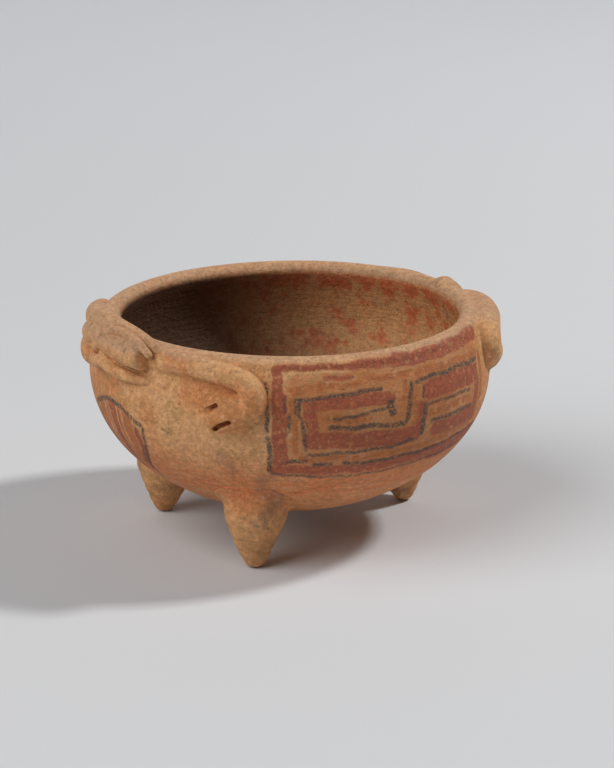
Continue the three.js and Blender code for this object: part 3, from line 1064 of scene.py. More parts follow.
# Half width in millimetres, then turn from the tail in degrees and height, on either side
FRET: dict[Slip, tuple[Stroke, ...]] = {
    Slip.ORANGE: (
        (2.1, ((119.5, 91), (116, 92.5), (112, 92.5))),
        (1.5, ((112, 93.5), (105, 92.5), (96.5, 95), (87, 94.5))),
        (1.7, ((87, 94.5), (79, 94), (67.5, 94), (53.5, 92.5))),
        (1.4, ((119.5, 86.5), (119, 74), (118.5, 63))),
        (1.5, ((117.5, 59.5), (109, 59), (99.5, 58.5), (80.5, 58.5))),
        (1.7, ((80.5, 58.5), (71, 60), (62, 61), (52.5, 62))),
        (2.1, ((109, 78), (103.5, 77), (98.5, 77.5))),
        (1.4, ((86.5, 91), (87, 84))),
        (1.9, ((83.5, 85.5), (83, 75), (83, 68.5))),
        (2.2, ((88, 66), (82, 66.5))),
        (1.7, ((77.5, 74), (69.5, 75), (59.5, 74.5))),
        (1.6, ((51, 92), (51, 83), (51, 71))),
        (3.3, ((172.5, 68), (172, 57), (174.5, 44))),
    ),
    Slip.RED: (
        (2.2, ((124, 100.5), (123.5, 88.5))),
        (3.2, ((123, 87.5), (123, 74), (123, 58))),
        (1.5, ((124.5, 101), (117.5, 101.5), (110, 101.5), (102, 101))),
        (2.1, ((102, 101), (96, 101), (88.5, 101))),
        (3.0, ((88.5, 100.8), (80.5, 100.5), (71, 100.5), (50, 101))),
        (1.0, ((110, 96.5), (106, 96.5), (102.5, 96.5))),
        (3.0, ((114.5, 85), (109.5, 85.5), (97, 85.5), (92, 85.5))),
        (2.7, ((115, 85), (114.5, 78.5), (114, 71))),
        (4.0, ((114, 68.5), (108, 68), (100.5, 67), (93, 66.5), (83, 65.5))),
        (4.6, ((77.5, 85), (69.5, 85.5), (58, 85))),
        (3.5, ((74.5, 65.5), (67, 65.5), (56.5, 66))),
        (2.6, ((55, 86), (54.5, 74.5), (54.5, 64))),
        (1.7, ((81.5, 79.5), (81.5, 68))),
        (2.3, ((125.5, 54), (117.5, 53.5), (106.5, 52.5), (95.5, 52), (85, 53))),
        (2.7, ((85, 53), (75, 53.5), (63.5, 54.5), (47, 55))),
        (3.6, ((72, 52), (60, 52.5), (48, 54))),
        (3.0, ((180, 71), (180, 42))),
        (1.8, ((168.5, 64), (168.5, 54), (172.5, 43))),
    ),
    Slip.BLACK: (
        (0.9, ((127, 94.5), (126.5, 84), (126.5, 73))),
        (1.0, ((126, 70), (126, 61.5), (126, 52.5))),
        (0.5, ((121.5, 88.5), (121.5, 82))),
        (0.7, ((120.5, 80.5), (120.5, 73))),
        (0.9, ((118.5, 87.5), (113.5, 88), (108.5, 88.5), (102, 89.5), (94.5, 90))),
        (1.4, ((118, 87), (118, 82))),
        (0.8, ((118, 82), (117, 77.5), (116.5, 72), (115.5, 64))),
        (0.8, ((115, 61.5), (103, 61.5), (90, 61.5), (82.5, 63))),
        (0.7, ((108, 77.5), (105, 78.5), (98.5, 79.5), (92.5, 81))),
        (1.8, ((91.5, 83), (91, 78.5))),
        (1.1, ((109.5, 74), (105, 73.5), (98, 73.5), (91, 72.5), (87, 72))),
        (1.1, ((84.5, 90), (85, 84.5), (85.5, 78.5), (86.5, 72.5))),
        (1.0, ((82.5, 90.5), (77, 91), (71, 91), (61.5, 91), (53.5, 90))),
        (0.5, ((80, 88), (80.5, 82))),
        (1.3, ((80, 79), (80, 72.5), (80, 65.5))),
        (0.7, ((78.5, 78.5), (71.5, 79), (59.5, 78.5))),
        (0.9, ((76.5, 70), (70, 70.5), (57.5, 70.5))),
        (0.9, ((121, 58), (116, 58))),
        (1.0, ((113.5, 56.5), (108.5, 56))),
        (0.9, ((104.5, 56), (96.5, 55), (82, 55.5), (73.5, 55.5))),
        (0.7, ((73.5, 55.5), (64, 57), (48, 58))),
        (0.7, ((125.5, 51.5), (120.5, 50.5), (112.5, 49.5))),
        (0.5, ((112.5, 49.5), (103, 48.5), (92, 48.5), (81, 49.5), (56, 51))),
        (1.1, ((180, 74.5), (174, 72.5), (166.5, 67.5))),
        (0.9, ((165.5, 66), (166.5, 57.5), (170.5, 46.5), (172.5, 38))),
        (0.5, ((176.5, 70.5), (176.5, 44))),
        (0.4, ((169, 67), (168.5, 57), (172.5, 46))),
        (0.3, ((158.2, 68.6), (155.4, 67.6))),
    ),
}


class Nodes:
    """Adds nodes to a tree, one call for each."""

    def __init__(self, tree: bpy.types.NodeTree) -> None:
        """Keeps the tree that the nodes go into."""
        self.tree = tree

    def feed(self, socket: Socket, value: object) -> None:
        """Links a socket to another one, or sets it.

        Args:
            socket: the socket to feed.
            value: another socket, a number or a row of numbers.
        """
        if isinstance(value, Socket):
            self.tree.links.new(value, socket)
        elif socket.type == "RGBA" and len(value) == 3:
            socket.default_value = (*value, 1.0)
        else:
            socket.default_value = value

    def node(self, kind: str, feeds: dict | None = None, **settings: object) -> bpy.types.Node:
        """Adds a node.

        Args:
            kind: the node's type in Blender.
            feeds: what goes into its sockets, by their names or places.
            settings: its options.

        Returns:
            The node.
        """
        made = self.tree.nodes.new(kind)
        for name, value in settings.items():
            setattr(made, name, value)
        for key, value in (feeds or {}).items():
            self.feed(made.inputs[key], value)
        return made

    def math(self, operation: str, *values: object) -> Socket:
        """Adds one sum of numbers."""
        return self.node("ShaderNodeMath", dict(enumerate(values)), operation=operation).outputs[0]

    def vector(self, operation: str, *values: object) -> bpy.types.Node:
        """Adds one sum of vectors and returns its node."""
        return self.node("ShaderNodeVectorMath", dict(enumerate(values)), operation=operation)

    def scaled(self, vector: Socket, factor: object) -> Socket:
        """Adds a vector times a number."""
        feeds = {"Vector": vector, "Scale": factor}
        return self.node("ShaderNodeVectorMath", feeds, operation="SCALE").outputs[0]

    def noise(self, place: Socket, grain: Grain) -> Socket:
        """Adds noise of a grain."""
        feeds = {"Vector": place, "Scale": 1.0 / grain.size, "Detail": grain.detail, "Roughness": grain.rough}
        return self.node("ShaderNodeTexNoise", feeds).outputs["Fac"]

    def between(
        self, value: object, low: object, high: object, first: float = 0.0, last: float = 1.0,
    ) -> Socket:
        """Adds an eased step.

        Args:
            value: what is read.
            low: the level where the step starts.
            high: the level where it ends, which may lie under the first.
            first: what it gives at its start.
            last: what it gives at its end.

        Returns:
            The step.
        """
        feeds = {"Value": value, "From Min": low, "From Max": high, "To Min": first, "To Max": last}
        return self.node("ShaderNodeMapRange", feeds, interpolation_type="SMOOTHSTEP").outputs["Result"]

    def mix(self, factor: object, first: object, second: object, blend: str = "MIX") -> Socket:
        """Adds a mix of two colours.

        Args:
            factor: share of the second.
            first: the colour under it.
            second: the colour over it.
            blend: how they are mixed.

        Returns:
            The mixed colour.
        """
        made = self.node("ShaderNodeMix", data_type="RGBA", blend_type=blend)
        sockets = {socket.identifier: socket for socket in (*made.inputs, *made.outputs)}
        for name, value in (("Factor_Float", factor), ("A_Color", first), ("B_Color", second)):
            self.feed(sockets[name], value)
        return sockets["Result_Color"]


class ClayShader(Nodes):
    """Builds the shader of one clay, read from the place in millimetres about the bowl's axis."""

    # The direction towards the side of the bowl's inside that is darkened by painted shade
    SHADE_DIRECTION = (-0.87, 0.5, 0.0)

    def __init__(self, tree: bpy.types.NodeTree, axis: Vector, clay: ClayFinish, sizes: BowlSizes) -> None:
        """Reads what the coats of colour follow.

        Args:
            tree: the material's tree.
            axis: where the bowl's axis stands in the part's frame, in metres.
            clay: colours of the clay.
            sizes: the bowl's sizes, which say where its inside is.
        """
        super().__init__(tree)
        self.clay = clay
        self.sizes = sizes
        raw = self.node("ShaderNodeTexCoord").outputs["Object"]
        self.here = self.scaled(self.vector("SUBTRACT", raw, tuple(axis)).outputs[0], 1 / MM)
        x, y, z = self.node("ShaderNodeSeparateXYZ", {0: self.here}).outputs
        squares = (self.math("MULTIPLY", part, part) for part in (x, y))
        self.fields = {name: self.noise(self.here, grain) for name, grain in GRAINS.items()}
        self.fields |= {
            "z": z,
            "radius": self.math("SQRT", self.math("ADD", *squares)),
            "turn": self.math("ARCTAN2", self.math("ABSOLUTE", y), x),
            "edge": self.node("ShaderNodeNewGeometry").outputs["Pointiness"],
            "painted_shade_side": self.vector("DOT_PRODUCT", self.here, self.SHADE_DIRECTION).outputs["Value"],
            "red": self.math("ADD", self.fields["medium"], self.between(z, *clay.red_rise)),
        }
        self.fields["streak"] = self._streak()

    def _streak(self) -> Socket:
        """The marks of a wiping hand, which run round the wall and fade towards its middle.

        Returns:
            How strong the marks are.
        """
        along = (self.math("MULTIPLY", self.fields[name], scale) for name, scale in WIPE_SCALE.items())
        place = self.node("ShaderNodeCombineXYZ", dict(enumerate(along))).outputs[0]
        faded = (self.between(self.fields[name], *step) for name, step in WIPE_REACH.items())
        return self.math("MULTIPLY", self.noise(place, self.clay.wipe), self.math("MULTIPLY", *faded))

    def spread(self, coat: Coat, color: object, limit: Socket | None = None) -> Socket:
        """Spreads a coat over a colour.

        Args:
            coat: the coat.
            color: the colour under it.
            limit: a further share that thins it.

        Returns:
            The new colour.
        """
        cover = self.between(self.fields[coat.field], coat.low, coat.high, 0.0, coat.share)
        if limit is not None:
            cover = self.math("MULTIPLY", cover, limit)
        return self.mix(cover, color, coat.color, coat.blend)

    def build(self, firing: Firing) -> None:
        """Lays the coats one over another and ends the tree.

        Args:
            firing: what sets this slot's clay apart.
        """
        clay, fields = self.clay, self.fields
        color: object = clay.tan
        for coat in (clay.orange, clay.olive, clay.pink):
            color = self.spread(coat, color)
        color = self.spread(clay.low, color, self.between(fields["streak"], *clay.low_streaks))
        color = self.spread(clay.lip, color)
        if firing.painted:
            color = self._inside(self._painted(color))
        color = self.spread(clay.cloud, color)
        low_down = self.between(fields["z"], *clay.low_reach)
        if firing.smoke:
            color = self.spread(firing.smoke, color, low_down)
        # Grit specks, then painted shade in hollows and a painted highlight on ridges
        for coat in (clay.grain_dark, clay.grain_pale, clay.hollow_shade, clay.ridge_highlight):
            color = self.spread(coat, color)
        mottle = self.between(fields["fine"], *clay.mottle)
        mottled = self.node("ShaderNodeCombineColor", dict.fromkeys(range(3), mottle)).outputs[0]
        color = self.mix(1.0, color, mottled, "MULTIPLY")
        shader = self.node("ShaderNodeBsdfPrincipled", {
            "Base Color": self.mix(low_down, color, firing.tint, "MULTIPLY"),
            "Roughness": self.between(fields["fine"], *clay.roughness),
            "Specular IOR Level": clay.specular,
            "Normal": self._bump(),
        })
        self.node("ShaderNodeOutputMaterial", {"Surface": shader.outputs[0]})

    def _painted(self, color: Socket) -> Socket:
        """Brushes the slip paints over the clay, where the wall's strokes lie.

        Args:
            color: the clay's colour.

        Returns:
            The painted colour.
        """
        for slip in Slip:
            paint = slip.value
            gap = self.node("ShaderNodeAttribute", attribute_name=slip.attribute).outputs["Fac"]
            edge = self.math("MULTIPLY_ADD", self.fields["fine"], -2.0 * paint.ragged, paint.ragged)
            cover = self.between(self.math("ADD", gap, edge), *paint.edge)
            low, high = (paint.worn + reach for reach in paint.wear_reach)
            kept = self.between(self.noise(self.here, paint.grain), low, high, *paint.kept)
            color = self.mix(self.math("MULTIPLY", cover, kept), color, paint.color)
        return color

    def _inside(self, color: Socket) -> Socket:
        """Darkens the inside of the bowl, with flecks of the red slip that is left on it and painted shade
        over its side away from the light.

        Args:
            color: the colour of the outside.

        Returns:
            The colour with that of the inside where the inside is.
        """
        s, z, clay = self.sizes, self.fields["z"], self.clay
        fall = self.math("SUBTRACT", s.belly_height, z)
        share = self.math("DIVIDE", fall, s.belly_height - s.base_height - s.floor / 2)
        below = self.math("POWER", self.math("MAXIMUM", share, 0.0), s.roundness)
        left = self.math("MAXIMUM", self.math("SUBTRACT", 1.0, below), 0.0)
        lower = self.math("MULTIPLY", self.math("POWER", left, 1 / s.roundness), s.belly_radius - s.wall / 2)
        lean = s.belly_radius - s.lip_radius + clay.inside_lean
        limit = self.math("SUBTRACT", lower, self.between(z, s.belly_height, s.lip_height, 0.0, lean))
        within = self.between(self.math("SUBTRACT", limit, self.fields["radius"]), *clay.inside_edge)
        deep = self.math("MULTIPLY", within, self.between(z, *clay.inside_top))
        inner: object = clay.inside
        # Red slip flecks and orange clay, then painted shade over one side
        for coat in (clay.inside_red, clay.inside_orange, clay.painted_shade_side):
            inner = self.spread(coat, inner)
        return self.mix(deep, color, inner)

    def _bump(self) -> Socket:
        """The wiped, gritty surface of the clay.

        Returns:
            The bent normal.
        """
        height = self.between(self.fields["pit"], *self.clay.pits)
        for name, share in RELIEF.items():
            height = self.math("MULTIPLY_ADD", self.fields[name], share, height)
        feeds = {"Strength": self.clay.bump, "Distance": self.clay.bump_depth, "Height": height}
        return self.node("ShaderNodeBump", feeds).outputs[0]


def clay_material(slot: str, axis: Vector, sizes: BowlSizes) -> bpy.types.Material:
    """Makes the clay of one slot.

    Args:
        slot: the record's material slot.
        axis: where the bowl's axis stands in the part's frame, in metres.
        sizes: the bowl's sizes.

    Returns:
        The material.
    """
    made = bpy.data.materials.new(slot)
    made.use_nodes = True
    made.node_tree.nodes.clear()
    ClayShader(made.node_tree, axis, ClayFinish(), sizes).build(FIRINGS[slot])
    return made


class ShapeTree(Nodes):
    """A geometry node tree with named inputs, one of them its material."""

    def __init__(self, name: str, **inputs: str) -> None:
        """Starts the tree.

        Args:
            name: the tree's name.
            inputs: the type of each input beside the geometry, by its name.
        """
        super().__init__(bpy.data.node_groups.new(name, "GeometryNodeTree"))
        for label, kind in {"Geometry": "Geometry", **inputs}.items():
            self.tree.interface.new_socket(label, in_out="INPUT", socket_type=f"NodeSocket{kind}")
        self.tree.interface.new_socket("Geometry", in_out="OUTPUT", socket_type="NodeSocketGeometry")
        self.given = self.node("NodeGroupInput").outputs

    def finish(self, geometry: Socket) -> bpy.types.NodeTree:
        """Ends the tree with plain geometry in its material.

        Args:
            geometry: what the tree has made.

        Returns:
            The tree.
        """
        real = self.node("GeometryNodeRealizeInstances", {"Geometry": geometry}).outputs[0]
        feeds = {"Geometry": real, "Material": self.given["Material"]}
        self.node("NodeGroupOutput", {0: self.node("GeometryNodeSetMaterial", feeds).outputs[0]})
        return self.tree


def turned_wall_tree() -> bpy.types.NodeTree:
    """A tree that turns a section about the upright axis into a closed wall.

    Returns:
        The tree, with inputs for how many facets it turns in and how many points the section has.
    """
    tree = ShapeTree("turned_wall", Facets="Int", Rows="Int", Material="Material")
    given = tree.given
    weld = 1e-6
    facets, rows = given["Facets"], given["Rows"]
    grid = tree.node("GeometryNodeMeshGrid", {"Vertices X": tree.math("ADD", facets, 1), "Vertices Y": rows})
    index = tree.node("GeometryNodeInputIndex").outputs[0]
    column = tree.math("FLOOR", tree.math("DIVIDE", index, rows))
    turn = tree.math("MULTIPLY", tree.math("DIVIDE", column, facets), 2 * math.pi)
    section = tree.node("GeometryNodeSampleIndex", {
        "Geometry": given["Geometry"],
        "Value": tree.node("GeometryNodeInputPosition").outputs[0],
        "Index": tree.math("FLOORED_MODULO", index, rows),
    }, data_type="FLOAT_VECTOR", domain="POINT")
    radius, _, height = tree.node("ShaderNodeSeparateXYZ", {0: section.outputs[0]}).outputs
    place = tree.node("ShaderNodeCombineXYZ", {
        0: tree.math("MULTIPLY", radius, tree.math("COSINE", turn)),
        1: tree.math("MULTIPLY", radius, tree.math("SINE", turn)),
        2: height,
    }).outputs[0]
    moved = tree.node("GeometryNodeSetPosition", {"Geometry": grid.outputs["Mesh"], "Position": place})
    closed = tree.node("GeometryNodeMergeByDistance", {"Geometry": moved.outputs[0], "Distance": weld})
    return tree.finish(closed.outputs[0])


def stood_support_tree() -> bpy.types.NodeTree:
    """A tree that stands a support at its turn round the bowl, with its own unevenness.

    Returns:
        The tree, with inputs for the turn, the seed and how far the surface wanders.
    """
    tree = ShapeTree("stood_support", Turn="Float", Seed="Int", Unevenness="Float", Material="Material")
    given = tree.given
    blobs, detail, noise_middle, rise_from_tip = 70.0, 1.0, 0.5, 120.0
    spin = tree.node("ShaderNodeCombineXYZ", {2: given["Turn"]}).outputs[0]
    turned = tree.node("GeometryNodeTransform", {"Geometry": given["Geometry"], "Rotation": spin}).outputs[0]
    feeds = {"W": given["Seed"], "Scale": blobs, "Detail": detail}
    noise = tree.node("ShaderNodeTexNoise", feeds, noise_dimensions="4D").outputs[0]
    position = tree.node("GeometryNodeInputPosition").outputs[0]
    height = tree.node("ShaderNodeSeparateXYZ", {0: position}).outputs[2]
    free = tree.node("ShaderNodeClamp", {0: tree.math("MULTIPLY", height, rise_from_tip)}).outputs[0]
    swing = tree.math("MULTIPLY", tree.math("SUBTRACT", noise, noise_middle), free)
    shift = tree.math("MULTIPLY", swing, given["Unevenness"])
    offset = tree.scaled(tree.node("GeometryNodeInputNormal").outputs[0], shift)
    moved = tree.node("GeometryNodeSetPosition", {"Geometry": turned, "Offset": offset}).outputs[0]
    return tree.finish(moved)


# Pieces in the part's frame


@dataclass(frozen=True)
class Workshop:
    """Turns skins into named pieces of the part, each in the material of its slot."""

    axis: Vector
    materials: dict[str, bpy.types.Material]

    def raw(self, name: str, vertices: Array, faces: Sequence, edges: Sequence = ()) -> bpy.types.Object:
        """Makes an object from millimetre places about the bowl's axis.

        Args:
            name: the object's name.
            vertices: the places.
            faces: the vertices of each face.
            edges: the vertices of each loose edge.

        Returns:
            The object.
        """
        mesh = bpy.data.meshes.new(name)
        mesh.from_pydata((np.asarray(vertices) * MM).tolist(), list(edges), np.asarray(faces).tolist())
        made = bpy.data.objects.new(name, mesh)
        bpy.context.scene.collection.objects.link(made)
        return made

    def through(self, made: bpy.types.Object, tree: bpy.types.NodeTree, values: dict[str, object]) -> None:
        """Runs an object through a geometry node tree and keeps the plain mesh.

        Args:
            made: the object.
            tree: the tree.
            values: what its inputs are set to, by their names.
        """
        modifier = made.modifiers.new(tree.name, "NODES")
        modifier.node_group = tree
        sockets = {item.name: item.identifier for item in tree.interface.items_tree if item.in_out == "INPUT"}
        for name, value in values.items():
            modifier[sockets[name]] = value
        made.update_tag()
        graph = bpy.context.evaluated_depsgraph_get()
        plain_mesh = bpy.data.meshes.new_from_object(made.evaluated_get(graph), depsgraph=graph)
        made.modifiers.clear()
        made.data = plain_mesh

    def settle(self, made: bpy.types.Object, node: str, slot: str) -> None:
        """Moves a piece's mesh to its place, dresses it and hands it to the frame.

        Args:
            made: the piece.
            node: the CAD node that it replaces.
            slot: the record's material slot.
        """
        mesh = made.data
        mesh.transform(Matrix.Translation(self.axis))
        if not mesh.materials:
            mesh.materials.append(self.materials[slot])
        mesh.polygons.foreach_set("use_smooth", [True] * len(mesh.polygons))
        mesh.update()
        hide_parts(node)
        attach(made, "root")
        LOG.info("%s: %d faces", made.name, len(mesh.polygons))

    def lump(self, lump: Lump) -> None:
        """Makes the piece of a lump of clay."""
        self.settle(self.raw(f"{lump.name}_clay", *lump.skin()), lump.name, lump.slot)


@dataclass(frozen=True)
class BowlBody:
    """The bowl itself, turned from its section, worked out of true by hand and painted."""

    shop: Workshop
    wall: Wall
    facets: int = 670
    painted: Row = (36.0, 103.5)
    painted_step: float = 0.82
    plain_step: float = 4.6
    lip_step: float = 1.3
    lip_room: float = 3.5
    skin: float = 3.0
    far: float = 9.0
    outline_top: float = 110.0
    outline_points: int = 221
    arc_radius: float = 88.0
    wander_seed: int = 5
    wander: tuple[Row, ...] = ((0.3, 17.0), (0.16, 6.0))

    def _rows(self) -> Array:
        """The section from the underside's middle to the floor's, finest where it is painted.

        Returns:
            Radius and height of each point.
        """
        s = self.wall.sizes
        section = self.wall.section
        line = np.vstack([[0.0, section[0, 1]], section[1:], [0.0, s.base_height + s.floor]])
        height = (line[1:, 1] + line[:-1, 1]) / 2
        outside = np.arange(len(height)) < np.argmax(line[:, 1])
        low, high = self.painted
        spacing = np.where(outside & (height > low) & (height < high), self.painted_step, self.plain_step)
        spacing = np.where(height >= high - self.lip_room, np.minimum(spacing, self.lip_step), spacing)
        steps = np.hypot(*np.diff(line, axis=0).T) / spacing
        length = np.concatenate([[0], np.cumsum(steps)])
        places = np.linspace(0, length[-1], int(length[-1]) + 1)
        return np.stack([np.interp(places, length, line[:, k]) for k in (0, 1)], 1)

    def build(self) -> None:
        """Makes the bowl's piece."""
        rows = self._rows()
        places = np.insert(rows, 1, 0.0, axis=1)
        made = self.shop.raw("bowl_clay", places, [], [(k, k + 1) for k in range(len(rows) - 1)])
        self.shop.through(made, turned_wall_tree(), {
            "Facets": self.facets, "Rows": len(rows), "Material": self.shop.materials["clay_body"],
        })
        self._work(made.data)
        self.shop.settle(made, "bowl", "clay_body")

    def _work(self, mesh: bpy.types.Mesh) -> None:
        """Pushes the turned wall out of true and marks where the strokes lie.

        Args:
            mesh: the turned wall.
        """
        places = np.empty(len(mesh.vertices) * 3)
        mesh.vertices.foreach_get("co", places)
        x, y, z = places.reshape(-1, 3).T / MM
        radius, angle = np.hypot(x, y), np.arctan2(y, x)
        heights = np.linspace(0, self.outline_top, self.outline_points)
        outline = [self.wall.radius(float(height)) for height in heights]
        outside = radius > np.interp(z, heights, outline) - self.skin
        for slip, gap in self._gaps(angle, z).items():
            attribute = mesh.attributes.new(slip.attribute, "FLOAT", "POINT")
            attribute.data.foreach_set("value", np.where(outside, gap, self.far).astype(np.float32))
        mesh.vertices.foreach_set("co", (self.wall.shaped(radius, angle, z) * MM).ravel())
        mesh.update()

    def _gaps(self, angle: Array, z: Array) -> dict[Slip, Array]:
        """How far each place is outside the nearest stroke of each slip, in millimetres.

        Args:
            angle: turns of the places in radians.
            z: their heights.

        Returns:
            The gaps of each slip, at most the far one.
        """
        draw = np.random.default_rng(self.wander_seed)
        arc = np.abs(angle) * self.arc_radius
        full = 2 * math.pi
        for size, length in self.wander:
            a, b, c, d = draw.uniform(0, full, 4)
            arc = arc + size * np.sin(z / length * full + a + 2 * np.sin(arc / length + b))
            z = z + size * np.sin(angle * self.arc_radius / length * full + c + np.sin(z / length + d))

        def nearest(strokes: Sequence[Stroke]) -> Array:
            """How far each place is outside the nearest of some strokes.

            Args:
                strokes: the half width and the line of each stroke.

            Returns:
                The distances, below zero on a stroke.
            """
            gap = np.full(arc.shape, self.far)
            for half, line in strokes:
                course = [(math.radians(turn) * self.arc_radius, height) for turn, height in line]
                gap = np.minimum(gap, polyline_distance(arc, z, course) - half)
            return gap

        gaps = {slip: nearest(strokes) for slip, strokes in FRET.items()}
        gaps[Slip.ORANGE] = np.minimum(gaps[Slip.ORANGE], np.maximum(nearest(WASH), WASH_GAP))
        return gaps


@dataclass(frozen=True)
class Tripod:
    """The three supports, each with its turn from the tail in degrees."""

    shop: Workshop
    wall: Wall
    sizes: SupportSizes = SupportSizes()
    turns: tuple[tuple[str, float], ...] = (
        ("support_rear", 0.0),
        ("support_front_left", 225.0),
        ("support_front_right", 135.0),
    )
    unevenness: float = 0.0016
    first_seed: int = 3

    def build(self) -> None:
        """Stands one support at each turn."""
        vertices, faces = Support(self.sizes, self.wall).skin()
        tree = stood_support_tree()
        for seed, (name, turn) in enumerate(self.turns, self.first_seed):
            made = self.shop.raw(f"{name}_clay", vertices, faces)
            self.shop.through(made, tree, {
                "Turn": math.radians(turn), "Seed": seed, "Unevenness": self.unevenness,
                "Material": self.shop.materials["clay_support"],
            })
            self.shop.settle(made, name, "clay_support")


@dataclass(frozen=True)
class Animal:
    """The animal worked round the rim."""

    shop: Workshop
    wall: Wall
    face: FaceSizes = FaceSizes()
    tail: TailSizes = TailSizes()
    merged: Luting = Luting(fillet=3.0, skirt=2.8)
    close: Luting = Luting(fillet=1.2, skirt=1.0)

    def build(self) -> None:
        """Models the head, the legs and the tail."""
        face, wall = self.face, self.wall
        lumps: list[Lump] = [Head("head", face, wall, self.merged), Jaw("lower_jaw", face, wall, self.close)]
        for side in Side:
            lumps.append(Eye(side, face, wall, self.close))
            lumps.append(Leg(Limb.FORE, side, FORELEG, wall))
            lumps.append(Leg(Limb.HIND, side, HINDLEG if side is Side.LEFT else FAR_HINDLEG, wall))
        lumps.append(Tail(self.tail, wall))
        for lump in lumps:
            self.shop.lump(lump)


# Stage, lights and camera


@dataclass(frozen=True)
class Lamp:
    """A soft white light: name, watts, size and places in metres."""

    name: str
    power: float
    size: float
    place: Row
    target: Row


@dataclass(frozen=True)
class Paper:
    """The paper under and behind the bowl: its sweep in metres, and its greys, paler further away."""

    half_width: float = 4.0
    front: float = -2.5
    back: float = 2.4
    bend: float = 0.6
    bend_start: float = 0.1
    bend_points: int = 12
    top: float = 3.0
    away: Row = (0.5, 0.866, 0.0)
    paler: Row = (0.25, 2.3)
    near: Row = (0.67, 0.675, 0.685)
    far: Row = (0.94, 0.96, 0.99)
    roughness: float = 0.9
    specular: float = 0.1


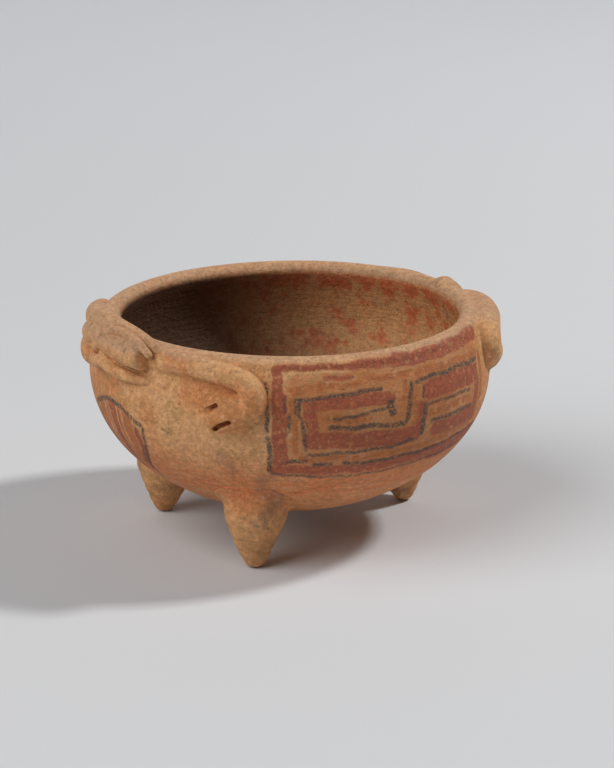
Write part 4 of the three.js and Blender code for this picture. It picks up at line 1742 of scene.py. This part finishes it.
@dataclass(frozen=True)
class Studio:
    """The paper and the lights, turned to the side that the photograph shows."""

    axis: Vector
    paper: Paper = Paper()
    turn: float = -30.0
    sky: Row = (0.98, 0.99, 1.0, 1.0)
    sky_strength: float = 0.09
    lamps: tuple[Lamp, ...] = (
        Lamp("soft_left", 78.0, 2.8, (-2.05, -1.4, 2.25), (0.0, 0.0, 0.06)),
        Lamp("low_right", 38.0, 0.3, (1.7, 0.32, 1.9), (0.0, 0.0, 0.05)),
    )

    @property
    def turned(self) -> Matrix:
        """The turn from the photograph's frame to the part's."""
        return Matrix.Translation(self.axis) @ Matrix.Rotation(math.radians(self.turn), 4, "Z")

    def _paper_material(self) -> bpy.types.Material:
        """Plain grey paper that grows paler away from the camera.

        Returns:
            The material.
        """
        paper = self.paper
        made = bpy.data.materials.new("studio_paper")
        made.use_nodes = True
        shader = made.node_tree.nodes["Principled BSDF"]
        nodes = Nodes(made.node_tree)
        place = nodes.node("ShaderNodeTexCoord").outputs["Object"]
        away = nodes.vector("DOT_PRODUCT", place, paper.away).outputs["Value"]
        color = nodes.mix(nodes.between(away, *paper.paler), paper.near, paper.far)
        feeds = {"Base Color": color, "Roughness": paper.roughness, "Specular IOR Level": paper.specular}
        for name, value in feeds.items():
            nodes.feed(shader.inputs[name], value)
        return made

    def _sweep(self) -> None:
        """Makes the paper sweep."""
        paper, bend = self.paper, self.paper.bend
        turns = np.linspace(paper.bend_start, math.pi / 2, paper.bend_points)
        bent = [(paper.back + bend * math.sin(t), bend - bend * math.cos(t)) for t in turns]
        profile = [(paper.front, 0.0), (paper.back, 0.0), *bent, (paper.back + bend, paper.top)]
        vertices = [(x, y, z) for x in (-paper.half_width, paper.half_width) for y, z in profile]
        count = len(profile)
        faces = [(k, k + count, k + count + 1, k + 1) for k in range(count - 1)]
        mesh = bpy.data.meshes.new("paper_sweep")
        mesh.from_pydata(vertices, [], faces)
        mesh.transform(self.turned)
        mesh.materials.append(self._paper_material())
        mesh.polygons.foreach_set("use_smooth", [True] * len(faces))
        sweep = bpy.data.objects.new("paper_sweep", mesh)
        bpy.context.scene.collection.objects.link(sweep)

    def build(self) -> None:
        """Makes the paper sweep, the lights and the world."""
        self._sweep()
        for lamp in self.lamps:
            self._light(lamp)
        world = bpy.data.worlds.new("studio")
        world.use_nodes = True
        background = world.node_tree.nodes["Background"]
        background.inputs["Color"].default_value = self.sky
        background.inputs["Strength"].default_value = self.sky_strength
        bpy.context.scene.world = world

    def _light(self, lamp: Lamp) -> None:
        """Hangs one soft light.

        Args:
            lamp: the light.
        """
        data = bpy.data.lights.new(lamp.name, "AREA")
        data.energy = lamp.power
        data.size = lamp.size
        made = bpy.data.objects.new(lamp.name, data)
        place = self.turned @ Vector(lamp.place)
        aim = (self.turned @ Vector(lamp.target) - place).to_track_quat("-Z", "Y")
        made.matrix_world = Matrix.Translation(place) @ aim.to_matrix().to_4x4()
        bpy.context.scene.collection.objects.link(made)


@dataclass(frozen=True)
class Shot:
    """The photograph's camera: distance in metres, angles in degrees, picture sizes in pixels."""

    distance: float = 1.2
    elevation: float = 19.6
    focal: float = 2540.0
    long_side: float = 768.0
    sensor: float = 36.0
    near: float = 0.05
    middle: Row = (307.0, 384.0)
    origin: Row = (290.0, 521.0)

    def place(self, turned: Matrix) -> None:
        """Makes the camera and aims it.

        Args:
            turned: the turn from the photograph's frame to the part's.
        """
        data = bpy.data.cameras.new("camera")
        data.sensor_width = self.sensor
        data.lens = self.focal / self.long_side * self.sensor
        data.clip_start = self.near
        rise = math.radians(self.elevation)
        yaw = math.atan((self.middle[0] - self.origin[0]) / self.focal)
        pitch = rise - math.atan((self.origin[1] - self.middle[1]) / self.focal)
        forward = Vector((math.sin(yaw) * math.cos(pitch), math.cos(yaw) * math.cos(pitch), -math.sin(pitch)))
        eye = Vector((0.0, -math.cos(rise), math.sin(rise))) * self.distance
        right = forward.cross(Vector((0, 0, 1))).normalized()
        above = right.cross(forward)
        basis = Matrix((right, above, -forward)).transposed().to_4x4()
        made = bpy.data.objects.new("camera", data)
        made.matrix_world = turned @ Matrix.Translation(eye) @ basis
        bpy.context.scene.collection.objects.link(made)
        bpy.context.scene.camera = made


def main() -> None:
    """Builds the bowl, its supports and the animal, then the studio."""
    logging.basicConfig(level=logging.INFO, format="%(name)s: %(message)s")
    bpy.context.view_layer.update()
    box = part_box("bowl")
    axis = Vector(((box[0][0] + box[1][0]) / 2, (box[0][1] + box[1][1]) / 2, 0.0))
    wall = Wall(BowlSizes(), HandWork(seed=11, amplitude=0.35))
    shop = Workshop(axis, {slot: clay_material(slot, axis, wall.sizes) for slot in FIRINGS})
    BowlBody(shop, wall).build()
    Tripod(shop, wall).build()
    Animal(shop, wall).build()
    studio = Studio(axis)
    studio.build()
    Shot().place(studio.turned)
    bpy.context.scene.view_settings.view_transform = "Standard"


if __name__ == "__main__":
    main()
